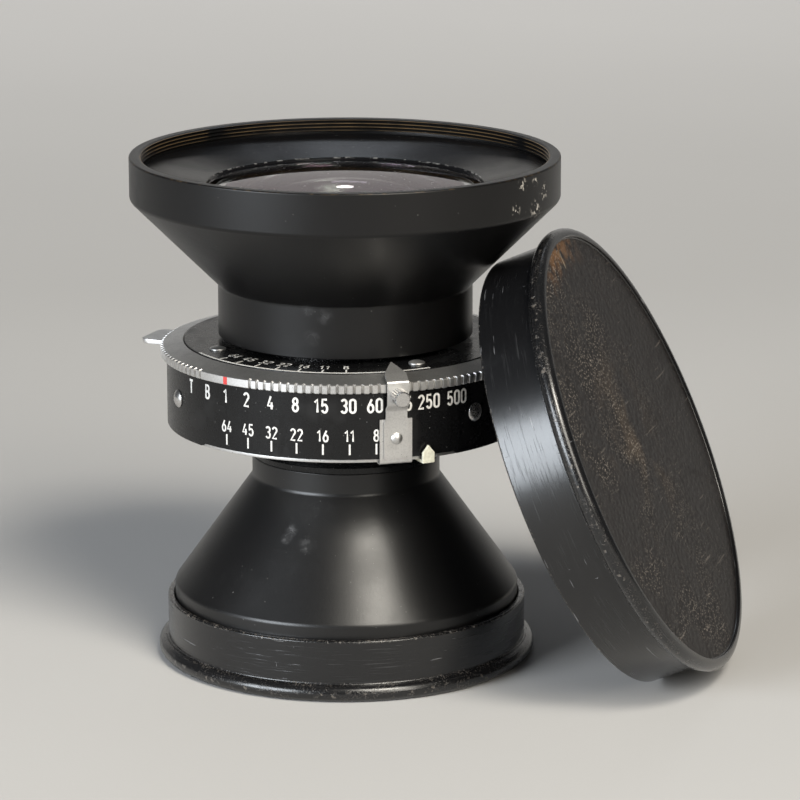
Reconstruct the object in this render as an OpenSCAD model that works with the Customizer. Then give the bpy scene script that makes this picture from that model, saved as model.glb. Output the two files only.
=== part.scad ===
// Wide-angle view-camera lens in a leaf shutter. It stands on its push-on rear cap, and its
// front cap leans on the front barrel. The optical axis is Z, and the floor is at z = 0.
// Angles around the axis are counted from -Y, growing towards +X.

/* [Push-on caps] */
// Thickness of the flat face of both caps
cap_face_t = 1.8; // [1.2:0.1:2.4]
// Wall of both caps
cap_wall_t = 1.1; // [0.8:0.1:1.8]
// Diameter of the round bead around both caps
bead_d = 2.8; // [2:0.1:3.6]
// How far the bead stands out from the cap's wall
bead_out = 1.6; // [1:0.1:2.2]
// Overall height of the rear cap
rear_cap_h = 9.9; // [7:0.1:12]
// Overall height of the front cap
front_cap_h = 12; // [9:0.1:15]
// Radial play between a cap and the rim it covers
cap_play = 0.1; // [0.05:0.01:0.3]
// Angle between the leaning front cap's axis and the floor
lean_tilt = 23.7; // [18:0.1:28]
// Direction in which the front cap lies, around the optical axis
lean_side = 73.8; // [68:0.1:80]
// Room left between the leaning cap and what it leans on
lean_gap = 0.25; // [0.1:0.05:1]

/* [Rear barrel] */
// Outer diameter of the rear rim
rear_rim_d = 56.8; // [54:0.1:62]
// Height of the rear rim
rear_rim_h = 10.2; // [9:0.1:14]
// Height of the rear cone
rear_cone_h = 18.1; // [17:0.1:24]
// Outer diameter of the rear neck
rear_neck_d = 30.9; // [30:0.1:34]
// Height of the rear neck
rear_neck_h = 3.5; // [2:0.1:6]

/* [Front barrel] */
// Outer diameter of the front rim, which the front cap pushes on to
front_rim_d = 70; // [69:0.1:74]
// Wall diameter inside the filter thread
filter_thread_d = 66.2; // [64:0.1:67.5]
// Length of the filter thread
filter_thread_l = 2; // [1.4:0.1:2.6]
// Height of the front rim
front_rim_h = 6.8; // [6:0.1:9]
// Height of the front cone
front_cone_h = 14.2; // [13.6:0.1:18]
// Outer diameter of the front neck
front_neck_d = 41.6; // [40.6:0.1:44]
// Height of the front neck
front_neck_h = 8.5; // [8:0.1:12]
// Wall of the front barrel
barrel_wall_t = 2.2; // [1.6:0.1:2.6]
// Height of the neck's end above the seat of the front cell
neck_lift = 0.65; // [0.4:0.05:1.2]

/* [Glass] */
// Diameter of the outer front element
front_lens_d = 47.2; // [45:0.1:48]
// Rise of its front surface
front_lens_crown = 1.5; // [1:0.1:2.8]
// Diameter of the outer rear element
rear_lens_d = 47.8; // [46:0.1:49]
// Rise of its rear surface
rear_lens_crown = 2.1; // [1:0.1:2.2]
// Thickness of the outer elements at the rim
lens_edge_t = 5.4; // [4.6:0.1:6]
// Depth of the hollow in the outer elements
lens_hollow = 6.6; // [5:0.1:7]
// Diameter of the cemented pairs
doublet_d = 25.7; // [24:0.1:26]
// Edge thickness of each half of a cemented pair
doublet_edge_t = 3.8; // [3:0.1:4.2]
// Rise of a pair's outer surface
doublet_crown = 1.6; // [0.8:0.1:2]
// Rise of the cemented surface
cement_crown = 2; // [1:0.1:2.4]
// Hollow of a pair's inner surface
doublet_hollow = 1.2; // [0.6:0.1:1.6]
// Radial play of glass in its bore
glass_play = 0.05; // [0.02:0.01:0.15]
// Height of a pair's retaining ring
retainer_h = 1.8; // [1.2:0.1:2.4]

/* [Shutter case] */
// Outer diameter of the shutter's drum
case_d = 58.6; // [58.2:0.1:62]
// Height of the drum
case_h = 11.25; // [11:0.05:13]
// Wall of the drum beside the mechanism
case_wall_t = 0.8; // [0.6:0.05:1]
// Thickness of the drum's floor
floor_t = 0.65; // [0.5:0.05:0.9]
// Outer diameter of the lens-board thread
board_thread_d = 32.5; // [32:0.1:34]
// Length of the lens-board thread with its plain end
board_thread_l = 4.6; // [3.6:0.1:6]
// Length of the thread's plain end
board_lead_l = 1.2; // [0.6:0.1:2]
// Outer diameter of the seat that meets the lens board
board_seat_d = 41; // [38:0.1:42]
// Thread diameter of the front and rear cells
cell_thread_d = 29.5; // [29:0.1:29.8]
// Radial play of a cell's thread
cell_play = 0.05; // [0.02:0.01:0.1]
// Diameter of the clear opening through the shutter
opening_d = 24; // [23:0.1:24.4]

/* [Speed ring and front plate] */
// Outer diameter of the milled speed ring
speed_ring_d = 60.6; // [60:0.1:64]
// Inner diameter of the speed ring
speed_ring_bore_d = 53; // [52:0.1:54]
// Height of the speed ring's milled edge
speed_edge_h = 1.4; // [1.2:0.1:2]
// Rise of the speed ring's top from its edge to its bore
speed_slope_h = 0.95; // [0.4:0.05:1]
// Thickness of the speed cam under the ring
speed_cam_t = 0.6; // [0.4:0.05:0.8]
// Thickness of the scale plate
scale_plate_t = 0.4; // [0.3:0.05:0.6]
// Diameter of the scale plate's screw heads
plate_screw_d = 2.7; // [2:0.1:2.8]
// Radius on which the scale plate's screws sit
plate_screw_r = 22.6; // [22.4:0.1:23.4]
// Diameter of the domed screws in the drum's side
case_screw_d = 3; // [2:0.1:3.4]

/* [Iris] */
// Outer diameter of the iris control ring
iris_ring_d = 57.6; // [57:0.1:57.7]
// Thickness of the iris control ring
iris_ring_t = 0.55; // [0.4:0.05:0.8]
// Height of the control ring above the board seat
iris_ring_lift = 0.9; // [0.8:0.05:1.4]
// Turn of the control ring from the widest to the smallest stop
iris_travel = 66.3; // [50:0.1:67]
// Radius of the leaves' pivots
leaf_pivot_r = 21; // [20.6:0.1:21.4]
// Swing of each leaf over the control ring's travel
leaf_swing = 31.2; // [26:0.1:31.4]
// Thickness of a leaf or blade
leaf_t = 0.14; // [0.1:0.01:0.16]
// Room between layers that move over each other
layer_gap = 0.08; // [0.06:0.01:0.12]
// Thickness of the rings and plates between the layers
layer_plate_t = 0.5; // [0.4:0.05:0.6]
// Distance of a leaf's or blade's driving pin from its pivot
drive_arm = 4.2; // [3.8:0.1:4.4]
// Diameter of the pivots
pivot_d = 1.6; // [1.2:0.1:1.8]
// Radial play of pivots, pins and rings that turn
turn_play = 0.05; // [0.03:0.01:0.1]

/* [Shutter blades] */
// Radius of the blades' pivots
blade_pivot_r = 20; // [19.8:0.1:20.4]
// Swing of each blade from closed to open
blade_swing = 38; // [37:0.1:39]
// Turn of the blade ring from closed to open
blade_ring_travel = 24; // [20:0.1:28]
// Radius out to which an open blade reaches
blade_reach = 24.5; // [23.6:0.1:25]

/* [Aperture lever] */
// Place of the aperture lever around the axis
lever_side = 15.4; // [10:0.1:20]
// Width of the lever's lower half
lever_low_w = 5.3; // [4:0.1:6]
// Width of the lever's upper half
lever_top_w = 3.5; // [3:0.1:4.4]
// Thickness of the lever's sheet metal
lever_t = 0.5; // [0.4:0.05:0.6]
// Height of the step where the lever narrows, above the drum's lower edge
lever_step_h = 7; // [5:0.1:9]
// Height of the bend where the lever steps outwards, above the drum's lower edge
lever_bend_h = 9; // [7.6:0.1:9.6]
// Rise of the lever's tip over the speed ring
lever_tip_rise = 2.3; // [1.2:0.1:3]
// Room between the lever and what it passes
lever_room = 0.3; // [0.2:0.05:0.6]
// Diameter of the knurled grip
knob_d = 2.7; // [2:0.1:3.2]
// Length of the knurled grip
knob_l = 2.6; // [1.8:0.1:4]
// Diameter of the rivet in the lever
rivet_d = 1.9; // [1.4:0.1:2.4]
// Angle from the lever to the white pointer
pointer_turn = 10.4; // [8:0.1:14]
// Width of the white pointer
pointer_w = 2.1; // [1.6:0.1:2.6]
// Height of the white pointer above the drum's lower edge
pointer_h = 2.3; // [1.6:0.1:3]

/* [Levers and sockets] */
// Place of the cocking lever around the axis
cocking_side = -114; // [-116:0.5:-108]
// Turn of the cocking lever
cocking_travel = 35; // [20:0.5:36]
// Width of the cocking lever's tab
cocking_w = 8; // [6:0.1:9]
// Radius of the levers' outer ends
lever_reach = 35.8; // [33:0.1:37]
// Thickness of the levers
lever_plate_t = 0.8; // [0.6:0.05:1]
// Place of the release lever's pivot around the axis
release_side = 135; // [133:0.5:138]
// Swing of the release lever
release_travel = 8; // [5:0.5:9]
// Place of the cable-release socket around the axis
cable_side = 152; // [150:0.5:156]
// Bore of the cable-release socket
cable_bore_d = 2.6; // [2.2:0.1:3]
// Outer diameter of the cable-release socket
cable_socket_d = 4.8; // [4.4:0.1:5.2]
// Length of the cable-release socket
cable_socket_l = 5; // [4:0.1:6]
// Place of the flash-sync selector around the axis
sync_side = 180; // [178:0.5:182]
// Turn of the flash-sync selector
sync_travel = 14; // [8:0.5:16]
// Place of the flash socket around the axis
flash_side = -158; // [-160:0.5:-154]
// Outer diameter of the flash socket
flash_socket_d = 5; // [4.6:0.1:5.4]
// Bore of the flash socket
flash_bore_d = 3.5; // [3.2:0.1:3.8]
// Diameter of the flash socket's centre contact
flash_contact_d = 1.2; // [0.8:0.1:1.4]

/* [Hidden] */
$fn = 96;
eps = 0.01;
// How far a cut reaches past the wall that it goes through
cut_over = 1;
blade_count = 5;

// Heights, from the floor up
z_rear = cap_face_t;
z_rear_cone = z_rear + rear_rim_h;
z_rear_neck = z_rear_cone + rear_cone_h;
z_tube = z_rear_neck + rear_neck_h;
z_seat = z_tube + board_thread_l;
z_iris_ring = z_seat + iris_ring_lift;
z_floor = z_iris_ring + iris_ring_t + layer_gap;
floor_rise = 0.5;
z_case = z_floor - floor_rise;
z_case_top = z_case + case_h;
layer_pitch = leaf_t + layer_gap;
stack_h = blade_count * layer_pitch;
z_leaves = z_floor + floor_t + layer_gap;
z_cam_ring = z_leaves + stack_h;
z_partition = z_cam_ring + layer_plate_t + layer_gap;
z_blades = z_partition + layer_plate_t + layer_gap;
z_blade_ring = z_blades + stack_h;
z_mech = z_blade_ring + layer_plate_t + layer_gap;
mech_t = 0.8;
mech_rim_h = 2;
z_mech_top = z_mech + mech_t;
z_ring = z_case_top + layer_gap;
z_carrier = z_ring + speed_cam_t + 2 * layer_gap;
carrier_t = 1.3;
z_scale = z_carrier + carrier_t;
tube_rise = 0.2;
z_cell = z_scale + scale_plate_t + tube_rise;
z_neck = z_cell + neck_lift;
z_front_cone = z_neck + front_neck_h;
z_front_rim = z_front_cone + front_cone_h;
z_top = z_front_rim + front_rim_h;

// Radii of the case and of the rings inside it
case_r = case_d / 2;
case_bore_r = case_r - case_wall_t;
ledge_w = 0.4;
blade_bore_r = case_bore_r - ledge_w;
iris_ledge_w = 0.7;
iris_bore_r = blade_bore_r - iris_ledge_w;
cell_r = cell_thread_d / 2;
tube_r = board_thread_d / 2;
tube_shoulder_w = 0.35;
tube_top_r = tube_r - tube_shoulder_w;
seat_r = board_seat_d / 2;
opening_r = opening_d / 2;
ring_r = speed_ring_d / 2;
ring_bore_r = speed_ring_bore_d / 2;
ring_lip = 1.1;
ring_web = 0.45;
pivot_r = pivot_d / 2;
pin_r = 0.6;

// The iris: a leaf's driving pin, and the ring's hole that takes the control pin
leaf_band_w = 6.5;
leaf_start = -8;
leaf_end = 140;
leaf_pin_side = -80;
control_pin_r = 0.7;
control_pin_in = 1.2;
control_pin_place = iris_bore_r - control_pin_in;
control_pin_side = -150;

// The blades: an open blade's driving pin, and the pin that drives the blade ring
blade_clear = 0.3;
blade_edge_r = opening_r + blade_clear;
blade_start = -6;
blade_wide_end = 60;
blade_tip_end = 82;
blade_tip_in = 1.6;
blade_tip_r = blade_pivot_r - blade_tip_in;
blade_pin_side = 30;
blade_drive_in = 3.6;
blade_drive_place = blade_bore_r - blade_drive_in;
blade_drive_side = 60;

// The front cell: heights and radii of the front lens and its bore
doublet_r = doublet_d / 2;
doublet_bore_r = doublet_r + glass_play;
doublet_lip = 0.9;
doublet_l = 2 * doublet_edge_t;
spigot_l = 4.8;
retainer_depth = 0.7;
z_front_doublet = z_cell - spigot_l + retainer_h + retainer_depth;
z_front_lip = z_front_doublet + doublet_l;
front_lens_r = front_lens_d / 2;
front_bore_r = front_lens_r + glass_play;
name_ring_drop = 2.3;
name_ring_t = 1.2;
name_lip_h = 0.4;
lens_lip = 1.4;
seat_w = 2.8;
boss_h = 2;
thread_groove_h = 0.4;
thread_groove_depth = 0.5;
z_thread = z_top - filter_thread_l;
z_name_ring = z_thread - thread_groove_h;
name_seat_step = 0.4;
name_seat_r = filter_thread_d / 2 - name_seat_step;
name_shelf_w = 0.8;
z_front_glass = z_name_ring - name_ring_drop - name_lip_h;
z_front_seat = z_front_glass - lens_edge_t;
cell_wall_t = 1.4;

// The rear cell: heights and radii of the rear lens and its bore
rear_lens_r = rear_lens_d / 2;
rear_bore_r = rear_lens_r + glass_play;
rear_glass_depth = 3.4;
z_rear_glass = z_rear + rear_glass_depth;
z_rear_seat = z_rear_glass + lens_edge_t;
rear_throat_h = 12.2;
z_rear_lip = z_rear_seat + boss_h + rear_throat_h;
z_rear_doublet = z_rear_lip + doublet_lip;

// The leaning front cap: it stands on its lip's lowest point and leans on the front barrel
lip_r = front_rim_d / 2 + cap_play + cap_wall_t;
lip_top_z = 2 * lip_r * cos(lean_tilt);
face_rim_w = 1.8;
face_recess = 0.6;
cone_slope = (front_rim_d - front_neck_d) / 2 / front_cone_h;
function barrel_r(z) =
    z < z_front_cone ? front_neck_d / 2
    : z < z_front_rim ? front_neck_d / 2 + (z - z_front_cone) * cone_slope
    : front_rim_d / 2;
lean_on_barrel = barrel_r(lip_top_z) + lip_r * sin(lean_tilt);
z_ring_edge = z_ring + speed_edge_h;
lean_on_ring = ring_r + (2 * z_ring_edge / lip_top_z - 1) * lip_r * sin(lean_tilt);
lean_out = max(lean_on_barrel, lean_on_ring) + lean_gap;

// Places its children at an angle around the axis, with their +X pointing outwards
module at_side(side) {
    rotate(side - 90) children();
}

// A strip of sheet metal: an outline in radius and height, as wide as given
module sheet_strip(side, width) {
    at_side(side) rotate([90, 0, 0]) linear_extrude(width, center = true) children();
}

// A round piece whose axis points outwards from the optical axis
module outward(side, r, z) {
    at_side(side) translate([r, 0, z]) rotate([0, 90, 0]) children();
}

// A part of a ring between two angles around the axis
module ring_sector(side_from, side_to, r_in, r_out, z, h) {
    rotate(side_from - 90)
        rotate_extrude(angle = side_to - side_from)
        translate([r_in, z]) square([r_out - r_in, h]);
}

// A plain ring
module washer(r_in, r_out, z, h) {
    rotate_extrude() translate([r_in, z]) square([r_out - r_in, h]);
}

// Radius of a sphere that rises by a crown over a given radius
function crown_r(r, crown) = (r * r + crown * crown) / (2 * crown);

// A ball whose highest point is at z
module ball_below(z, r) {
    translate([0, 0, z - r]) sphere(r);
}

// Half of a push-on cap's outline: its mouth is at the top and its face at the bottom
module cap_outline(rim_r, height) {
    bore_r = rim_r + cap_play;
    wall_r = bore_r + cap_wall_t;
    square([wall_r, cap_face_t]);
    translate([bore_r, 0]) square([cap_wall_t, height]);
    translate([wall_r + bead_out - bead_d / 2, bead_d / 2]) circle(d = bead_d);
    translate([wall_r - eps, 0]) square([bead_out - bead_d / 2 + eps, bead_d]);
}

module rear_cap() {
    color("#26262a") rotate_extrude() cap_outline(rear_rim_d / 2, rear_cap_h);
}

// The mouth faces the lens, and the lip's lowest point is on the floor
module front_cap() {
    color("#202226")
        at_side(lean_side)
        translate([lean_out, 0, lip_r * cos(lean_tilt)])
        rotate([0, -90 - lean_tilt, 0])
        translate([0, 0, -front_cap_h])
        difference() {
            rotate_extrude() cap_outline(front_rim_d / 2, front_cap_h);
            translate([0, 0, -eps]) cylinder(r = lip_r + bead_out - face_rim_w, h = face_recess + eps);
        }
}

// The rear barrel's outline: rim, cone and neck outside, seats for glass inside
module rear_barrel() {
    rim_r = rear_rim_d / 2;
    neck_r = rear_neck_d / 2;
    spigot_r = cell_r - cell_play;
    seat_in_r = rear_bore_r - seat_w;
    lip_in_r = doublet_bore_r - doublet_lip;
    z_end = z_tube + spigot_l;
    color("#141416") rotate_extrude() polygon([
        [rear_bore_r, z_rear], [rim_r, z_rear], [rim_r, z_rear_cone],
        [neck_r, z_rear_neck], [neck_r, z_tube], [spigot_r, z_tube], [spigot_r, z_end],
        [doublet_bore_r, z_end], [doublet_bore_r, z_rear_doublet], [lip_in_r, z_rear_doublet],
        [lip_in_r, z_rear_lip], [seat_in_r, z_rear_seat + boss_h], [seat_in_r, z_rear_seat],
        [rear_bore_r, z_rear_seat]
    ]);
}

// An outer element: crowned outside, deeply hollow inside, with a narrower inner boss
module outer_element(r, crown) {
    boss_r = r - seat_w - 2 * glass_play;
    hollow_edge_w = 1.5;
    hollow_r = boss_r - hollow_edge_w;
    difference() {
        intersection() {
            union() {
                cylinder(r = r, h = lens_edge_t + crown);
                translate([0, 0, -boss_h]) cylinder(r = boss_r, h = boss_h + eps);
            }
            ball_below(lens_edge_t + crown, crown_r(r - lens_lip, crown));
        }
        ball_below(lens_hollow - boss_h, crown_r(hollow_r, lens_hollow));
    }
}

module front_lens() {
    color("#a8788c", 0.4) translate([0, 0, z_front_seat])
        outer_element(front_lens_r, front_lens_crown);
}

module rear_lens() {
    color("#a8788c", 0.4) translate([0, 0, z_rear_seat]) mirror([0, 0, 1])
        outer_element(rear_lens_r, rear_lens_crown);
}

module rear_lens_ring() {
    color("#18181a")
        washer(rear_lens_r - lens_lip, rear_lens_r, z_rear_glass - retainer_h, retainer_h);
}

// The half of a cemented pair that faces outwards, standing on its cemented side
module pair_outer() {
    difference() {
        intersection() {
            cylinder(r = doublet_r, h = doublet_edge_t + doublet_crown);
            ball_below(doublet_edge_t + doublet_crown, crown_r(doublet_r - doublet_lip, doublet_crown));
        }
        ball_below(cement_crown, crown_r(doublet_r, cement_crown));
    }
}

// The half of a cemented pair that faces the shutter, with its cemented side at z = 0
module pair_inner() {
    difference() {
        intersection() {
            translate([0, 0, -doublet_edge_t])
                cylinder(r = doublet_r, h = doublet_edge_t + cement_crown);
            ball_below(cement_crown, crown_r(doublet_r, cement_crown));
        }
        ball_below(doublet_hollow - doublet_edge_t, crown_r(doublet_r - doublet_lip, doublet_hollow));
    }
}

z_front_cement = z_front_doublet + doublet_edge_t;
z_rear_cement = z_rear_doublet + doublet_edge_t;

module front_doublet_outer() {
    color("#b4c4cc", 0.4) translate([0, 0, z_front_cement]) pair_outer();
}

module front_doublet_inner() {
    color("#b4c4cc", 0.4) translate([0, 0, z_front_cement]) pair_inner();
}

module rear_doublet_outer() {
    color("#b4c4cc", 0.4) translate([0, 0, z_rear_cement]) mirror([0, 0, 1]) pair_outer();
}

module rear_doublet_inner() {
    color("#b4c4cc", 0.4) translate([0, 0, z_rear_cement]) mirror([0, 0, 1]) pair_inner();
}

module front_doublet_ring() {
    color("#18181a")
        washer(doublet_r - 2 * doublet_lip, doublet_r, z_front_doublet - retainer_h, retainer_h);
}

module rear_doublet_ring() {
    color("#18181a")
        washer(doublet_r - 2 * doublet_lip, doublet_r, z_rear_doublet + doublet_l, retainer_h);
}

// The drum: its floor, the rear tube with the lens-board thread, and two ledges inside
slot_from = -52;
slot_to = 36;
slot_rise = floor_rise + eps;
tab_room = 0.12;
board_lead_step = 0.85;
window_room = 0.5;
tab_drop = 0.2;
z_tab = z_case_top - lever_plate_t - tab_drop;
module shutter_case() {
    lead_r = tube_r - board_lead_step;
    rebate_r = iris_ring_d / 2 + turn_play;
    color("#1c1c1e") difference() {
        rotate_extrude() polygon([
            [cell_r, z_tube], [lead_r, z_tube], [lead_r, z_tube + board_lead_l],
            [tube_r, z_tube + board_lead_l], [tube_r, z_seat], [seat_r, z_seat], [seat_r, z_floor],
            [rebate_r, z_floor], [rebate_r, z_case], [case_r, z_case], [case_r, z_case_top],
            [case_bore_r, z_case_top], [case_bore_r, z_mech], [blade_bore_r, z_mech],
            [blade_bore_r, z_partition], [iris_bore_r, z_partition],
            [iris_bore_r, z_floor + floor_t], [cell_r, z_floor + floor_t]
        ]);
        // the gap in the lower edge where the iris ring shows
        ring_sector(slot_from, slot_to, rebate_r - eps, case_r + cut_over, z_case - eps, slot_rise);
        // the slot for the iris control pin
        pin_slot(control_pin_side, -iris_travel, control_pin_place, control_pin_r + turn_play,
            z_floor - eps, floor_t + 2 * eps);
        for (i = [0 : blade_count - 1])
            rotate(i * 360 / blade_count)
                translate([leaf_pivot_r, 0, z_floor - eps])
                cylinder(r = pivot_r, h = floor_t + 2 * eps);
        side_window(cocking_side, -cocking_travel, cocking_w, z_tab);
        release_window();
        side_window(sync_side, sync_travel, sync_w, z_sync);
        for (side = case_screw_sides)
            wall_hole(side, z_case_screw, case_shank_d);
        wall_hole(cable_side, z_socket, cable_bore_d + cable_hole_room);
        wall_hole(flash_side, z_socket, flash_bore_d);
    }
}

// A round hole through the drum's wall
module wall_hole(side, z, d) {
    outward(side, case_bore_r - cut_over, z) cylinder(d = d, h = case_wall_t + 2 * cut_over);
}

// An arc-shaped slot through which a pin sweeps
module pin_slot(side, sweep, r, half_w, z, h) {
    spare = asin(half_w / r);
    ring_sector(min(side, side + sweep) - spare, max(side, side + sweep) + spare,
        r - half_w, r + half_w, z, h);
}

// A window in the drum's wall for a tab that turns about the optical axis
module side_window(side, sweep, width, z) {
    spare = asin((width / 2 + window_room) / case_bore_r);
    ring_sector(min(side, side + sweep) - spare, max(side, side + sweep) + spare,
        blade_bore_r - cut_over, case_r + cut_over, z - tab_room, lever_plate_t + 2 * tab_room);
}

// Domed screws that hold the mechanism plate from the side
case_screw_sides = [-67, 44.5, 171];
case_shank_d = 1.2;
z_case_screw = z_mech + mech_rim_h / 2;
module case_screws() {
    head_h = 0.7;
    head_r = case_screw_d / 2;
    color("silver") for (side = case_screw_sides)
        outward(side, 0, z_case_screw) {
            translate([0, 0, case_bore_r - screw_grip])
                cylinder(d = case_shank_d, h = screw_grip + case_wall_t);
            intersection() {
                translate([0, 0, case_r]) cylinder(r = head_r, h = head_h);
                translate([0, 0, case_r + head_h - crown_r(head_r, head_h)])
                    sphere(crown_r(head_r, head_h));
            }
        }
}
screw_grip = 1.4;
screw_room = 0.2;

// The plate between the iris and the blades, with holes for the blades' pivots
module partition_plate() {
    color("#303034") difference() {
        washer(opening_r, blade_bore_r - seat_play, z_partition, layer_plate_t);
        for (i = [0 : blade_count - 1])
            rotate(i * 360 / blade_count)
                translate([blade_pivot_r, 0, z_partition - eps])
                cylinder(r = pivot_r, h = layer_plate_t + 2 * eps);
    }
}
seat_play = 0.02;

// The mechanism plate with its rim and the front tube that takes the front cell
module mechanism_plate() {
    plate_r = case_bore_r - seat_play;
    rim_t = 1.9;
    color("#8c8c88") difference() {
        rotate_extrude() polygon([
            [cell_r, z_mech], [plate_r, z_mech], [plate_r, z_mech + mech_rim_h],
            [plate_r - rim_t, z_mech + mech_rim_h], [plate_r - rim_t, z_mech_top],
            [tube_r, z_mech_top], [tube_r, z_carrier], [tube_top_r, z_carrier],
            [tube_top_r, z_cell], [cell_r, z_cell]
        ]);
        pin_slot(blade_drive_side, -blade_ring_travel, blade_drive_place, pin_r + 2 * turn_play,
            z_mech - eps, mech_t + 2 * eps);
        for (side = case_screw_sides)
            outward(side, case_bore_r - screw_grip - screw_room, z_case_screw)
                cylinder(d = case_shank_d, h = screw_grip + cut_over);
        at_side(release_side) translate([release_place, 0, z_mech - eps])
            cylinder(d = release_post_d, h = mech_t + 2 * eps);
    }
}

// The drive spring around the front tube, as its outer form
module main_spring() {
    tube_room = 0.4;
    spring_w = 1.4;
    top_room = 1;
    color("#8a8f96") washer(tube_r + tube_room, tube_r + tube_room + spring_w,
        z_cocking + lever_plate_t + 2 * layer_gap, z_tab - z_cocking - lever_plate_t - top_room);
}

// The control ring of the iris, which shows as a bright line under the drum
module iris_ring() {
    color("silver") difference() {
        washer(seat_r + turn_play, iris_ring_d / 2, z_iris_ring, iris_ring_t);
        at_side(control_pin_side) translate([control_pin_place, 0, z_iris_ring - eps])
            cylinder(r = control_pin_r, h = iris_ring_t + 2 * eps);
    }
}

// The pin that carries the control ring's turn through the drum's floor
module iris_control_pin() {
    color("silver") at_side(control_pin_side) translate([control_pin_place, 0, z_iris_ring])
        cylinder(r = control_pin_r, h = z_cam_ring + layer_plate_t - z_iris_ring);
}

function turned(p, a) = [p.x * cos(a) - p.y * sin(a), p.x * sin(a) + p.y * cos(a)];

// Where a driving pin lies at a swing of its leaf or blade, and that place seen from the ring
function pin_place(arm_r, side, swing) =
    [arm_r + drive_arm * cos(side + swing), drive_arm * sin(side + swing)];
function slot_place(arm_r, side, swing, travel, t) =
    turned(pin_place(arm_r, side, swing * t), -travel * t);

// A ring's slot that drives a pin as the ring turns
slot_steps = 16;
ring_inset = 2;
module cam_slot(arm_r, side, swing, travel, half_w, z, h) {
    path = [for (i = [0 : slot_steps]) slot_place(arm_r, side, swing, travel, i / slot_steps)];
    heading = [for (i = [0 : slot_steps])
        let (step = path[min(i + 1, slot_steps)] - path[max(i - 1, 0)]) step / norm(step)];
    // the slot runs on past the pin's two end places by its half width
    run_on = [for (i = [0 : slot_steps])
        path[i] + (i == 0 ? -1 : i == slot_steps ? 1 : 0) * half_w * heading[i]];
    left = [for (i = [0 : slot_steps]) run_on[i] + half_w * [-heading[i].y, heading[i].x]];
    right = [for (i = [slot_steps : -1 : 0]) run_on[i] - half_w * [-heading[i].y, heading[i].x]];
    translate([0, 0, z]) linear_extrude(h) polygon(concat(left, right));
}

module iris_cam_ring() {
    color("#b09a62") difference() {
        washer(leaf_pivot_r - ring_inset, iris_bore_r - turn_play, z_cam_ring, layer_plate_t);
        for (i = [0 : blade_count - 1])
            rotate(i * 360 / blade_count)
                cam_slot(leaf_pivot_r, leaf_pin_side, leaf_swing, -iris_travel, pin_r + 2 * turn_play,
                    z_cam_ring - eps, layer_plate_t + 2 * eps);
        at_side(control_pin_side) translate([control_pin_place, 0, z_cam_ring - eps])
            cylinder(r = control_pin_r, h = layer_plate_t + 2 * eps);
    }
}

// Pivots of the leaves, set in the drum's floor, each as tall as its leaf's layer
module iris_pivots() {
    color("silver") for (i = [0 : blade_count - 1])
        rotate(i * 360 / blade_count) translate([leaf_pivot_r, 0, z_floor])
            cylinder(r = pivot_r, h = z_leaves + i * layer_pitch + leaf_t - z_floor);
}

module blade_pivots() {
    color("silver") for (i = [0 : blade_count - 1])
        rotate(i * 360 / blade_count) translate([blade_pivot_r, 0, z_partition])
            cylinder(r = pivot_r, h = z_blades + i * layer_pitch + leaf_t - z_partition);
}

// An arm from a pivot to its driving pin, with the pin standing on it
module drive_pin_arm(arm_r, side, pin_top) {
    arm_w = 2.2;
    pin = pin_place(arm_r, side, 0);
    translate([arm_r, 0, 0]) rotate(side) translate([0, -arm_w / 2, 0]) cube([drive_arm, arm_w, leaf_t]);
    translate([pin.x, pin.y, 0]) {
        cylinder(d = arm_w, h = leaf_t);
        cylinder(r = pin_r, h = pin_top);
    }
}

// A leaf's or blade's curved band between two angles, in its own layer
module band(r_in, r_out, from, to) {
    rotate(from) rotate_extrude(angle = to - from) translate([r_in, 0]) square([r_out - r_in, leaf_t]);
}

hub_r = 1.9;
module iris_leaf(i) {
    z = z_leaves + i * layer_pitch;
    band_out_r = opening_r + leaf_band_w;
    neck_w = 2.6;
    neck_lap = 1;
    color("#3a3d44") rotate(i * 360 / blade_count) translate([0, 0, z]) difference() {
        union() {
            band(opening_r, band_out_r, leaf_start, leaf_end);
            translate([leaf_pivot_r, 0, 0]) cylinder(r = hub_r, h = leaf_t);
            translate([band_out_r - neck_lap, -neck_w / 2, 0])
                cube([leaf_pivot_r - band_out_r + neck_lap, neck_w, leaf_t]);
            drive_pin_arm(leaf_pivot_r, leaf_pin_side, z_cam_ring + layer_plate_t - z);
        }
        translate([leaf_pivot_r, 0, -eps]) cylinder(r = pivot_r + turn_play, h = leaf_t + 2 * eps);
    }
}
module iris_leaf_1() { iris_leaf(0); }
module iris_leaf_2() { iris_leaf(1); }
module iris_leaf_3() { iris_leaf(2); }
module iris_leaf_4() { iris_leaf(3); }
module iris_leaf_5() { iris_leaf(4); }

// Drawn open and then swung shut about its pivot
module shutter_blade(i) {
    z = z_blades + i * layer_pitch;
    color("#5a5e66") rotate(i * 360 / blade_count) translate([blade_pivot_r, 0, z])
        difference() {
            union() {
                rotate(blade_swing) translate([-blade_pivot_r, 0, 0]) {
                    band(blade_edge_r, blade_reach, blade_start, blade_wide_end);
                    band(blade_edge_r, blade_tip_r, blade_start, blade_tip_end);
                }
                translate([-blade_pivot_r, 0, 0])
                    drive_pin_arm(blade_pivot_r, blade_pin_side, z_blade_ring + layer_plate_t - z);
            }
            translate([0, 0, -eps]) cylinder(r = pivot_r + turn_play, h = leaf_t + 2 * eps);
        }
}
module shutter_blade_1() { shutter_blade(0); }
module shutter_blade_2() { shutter_blade(1); }
module shutter_blade_3() { shutter_blade(2); }
module shutter_blade_4() { shutter_blade(3); }
module shutter_blade_5() { shutter_blade(4); }

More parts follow.
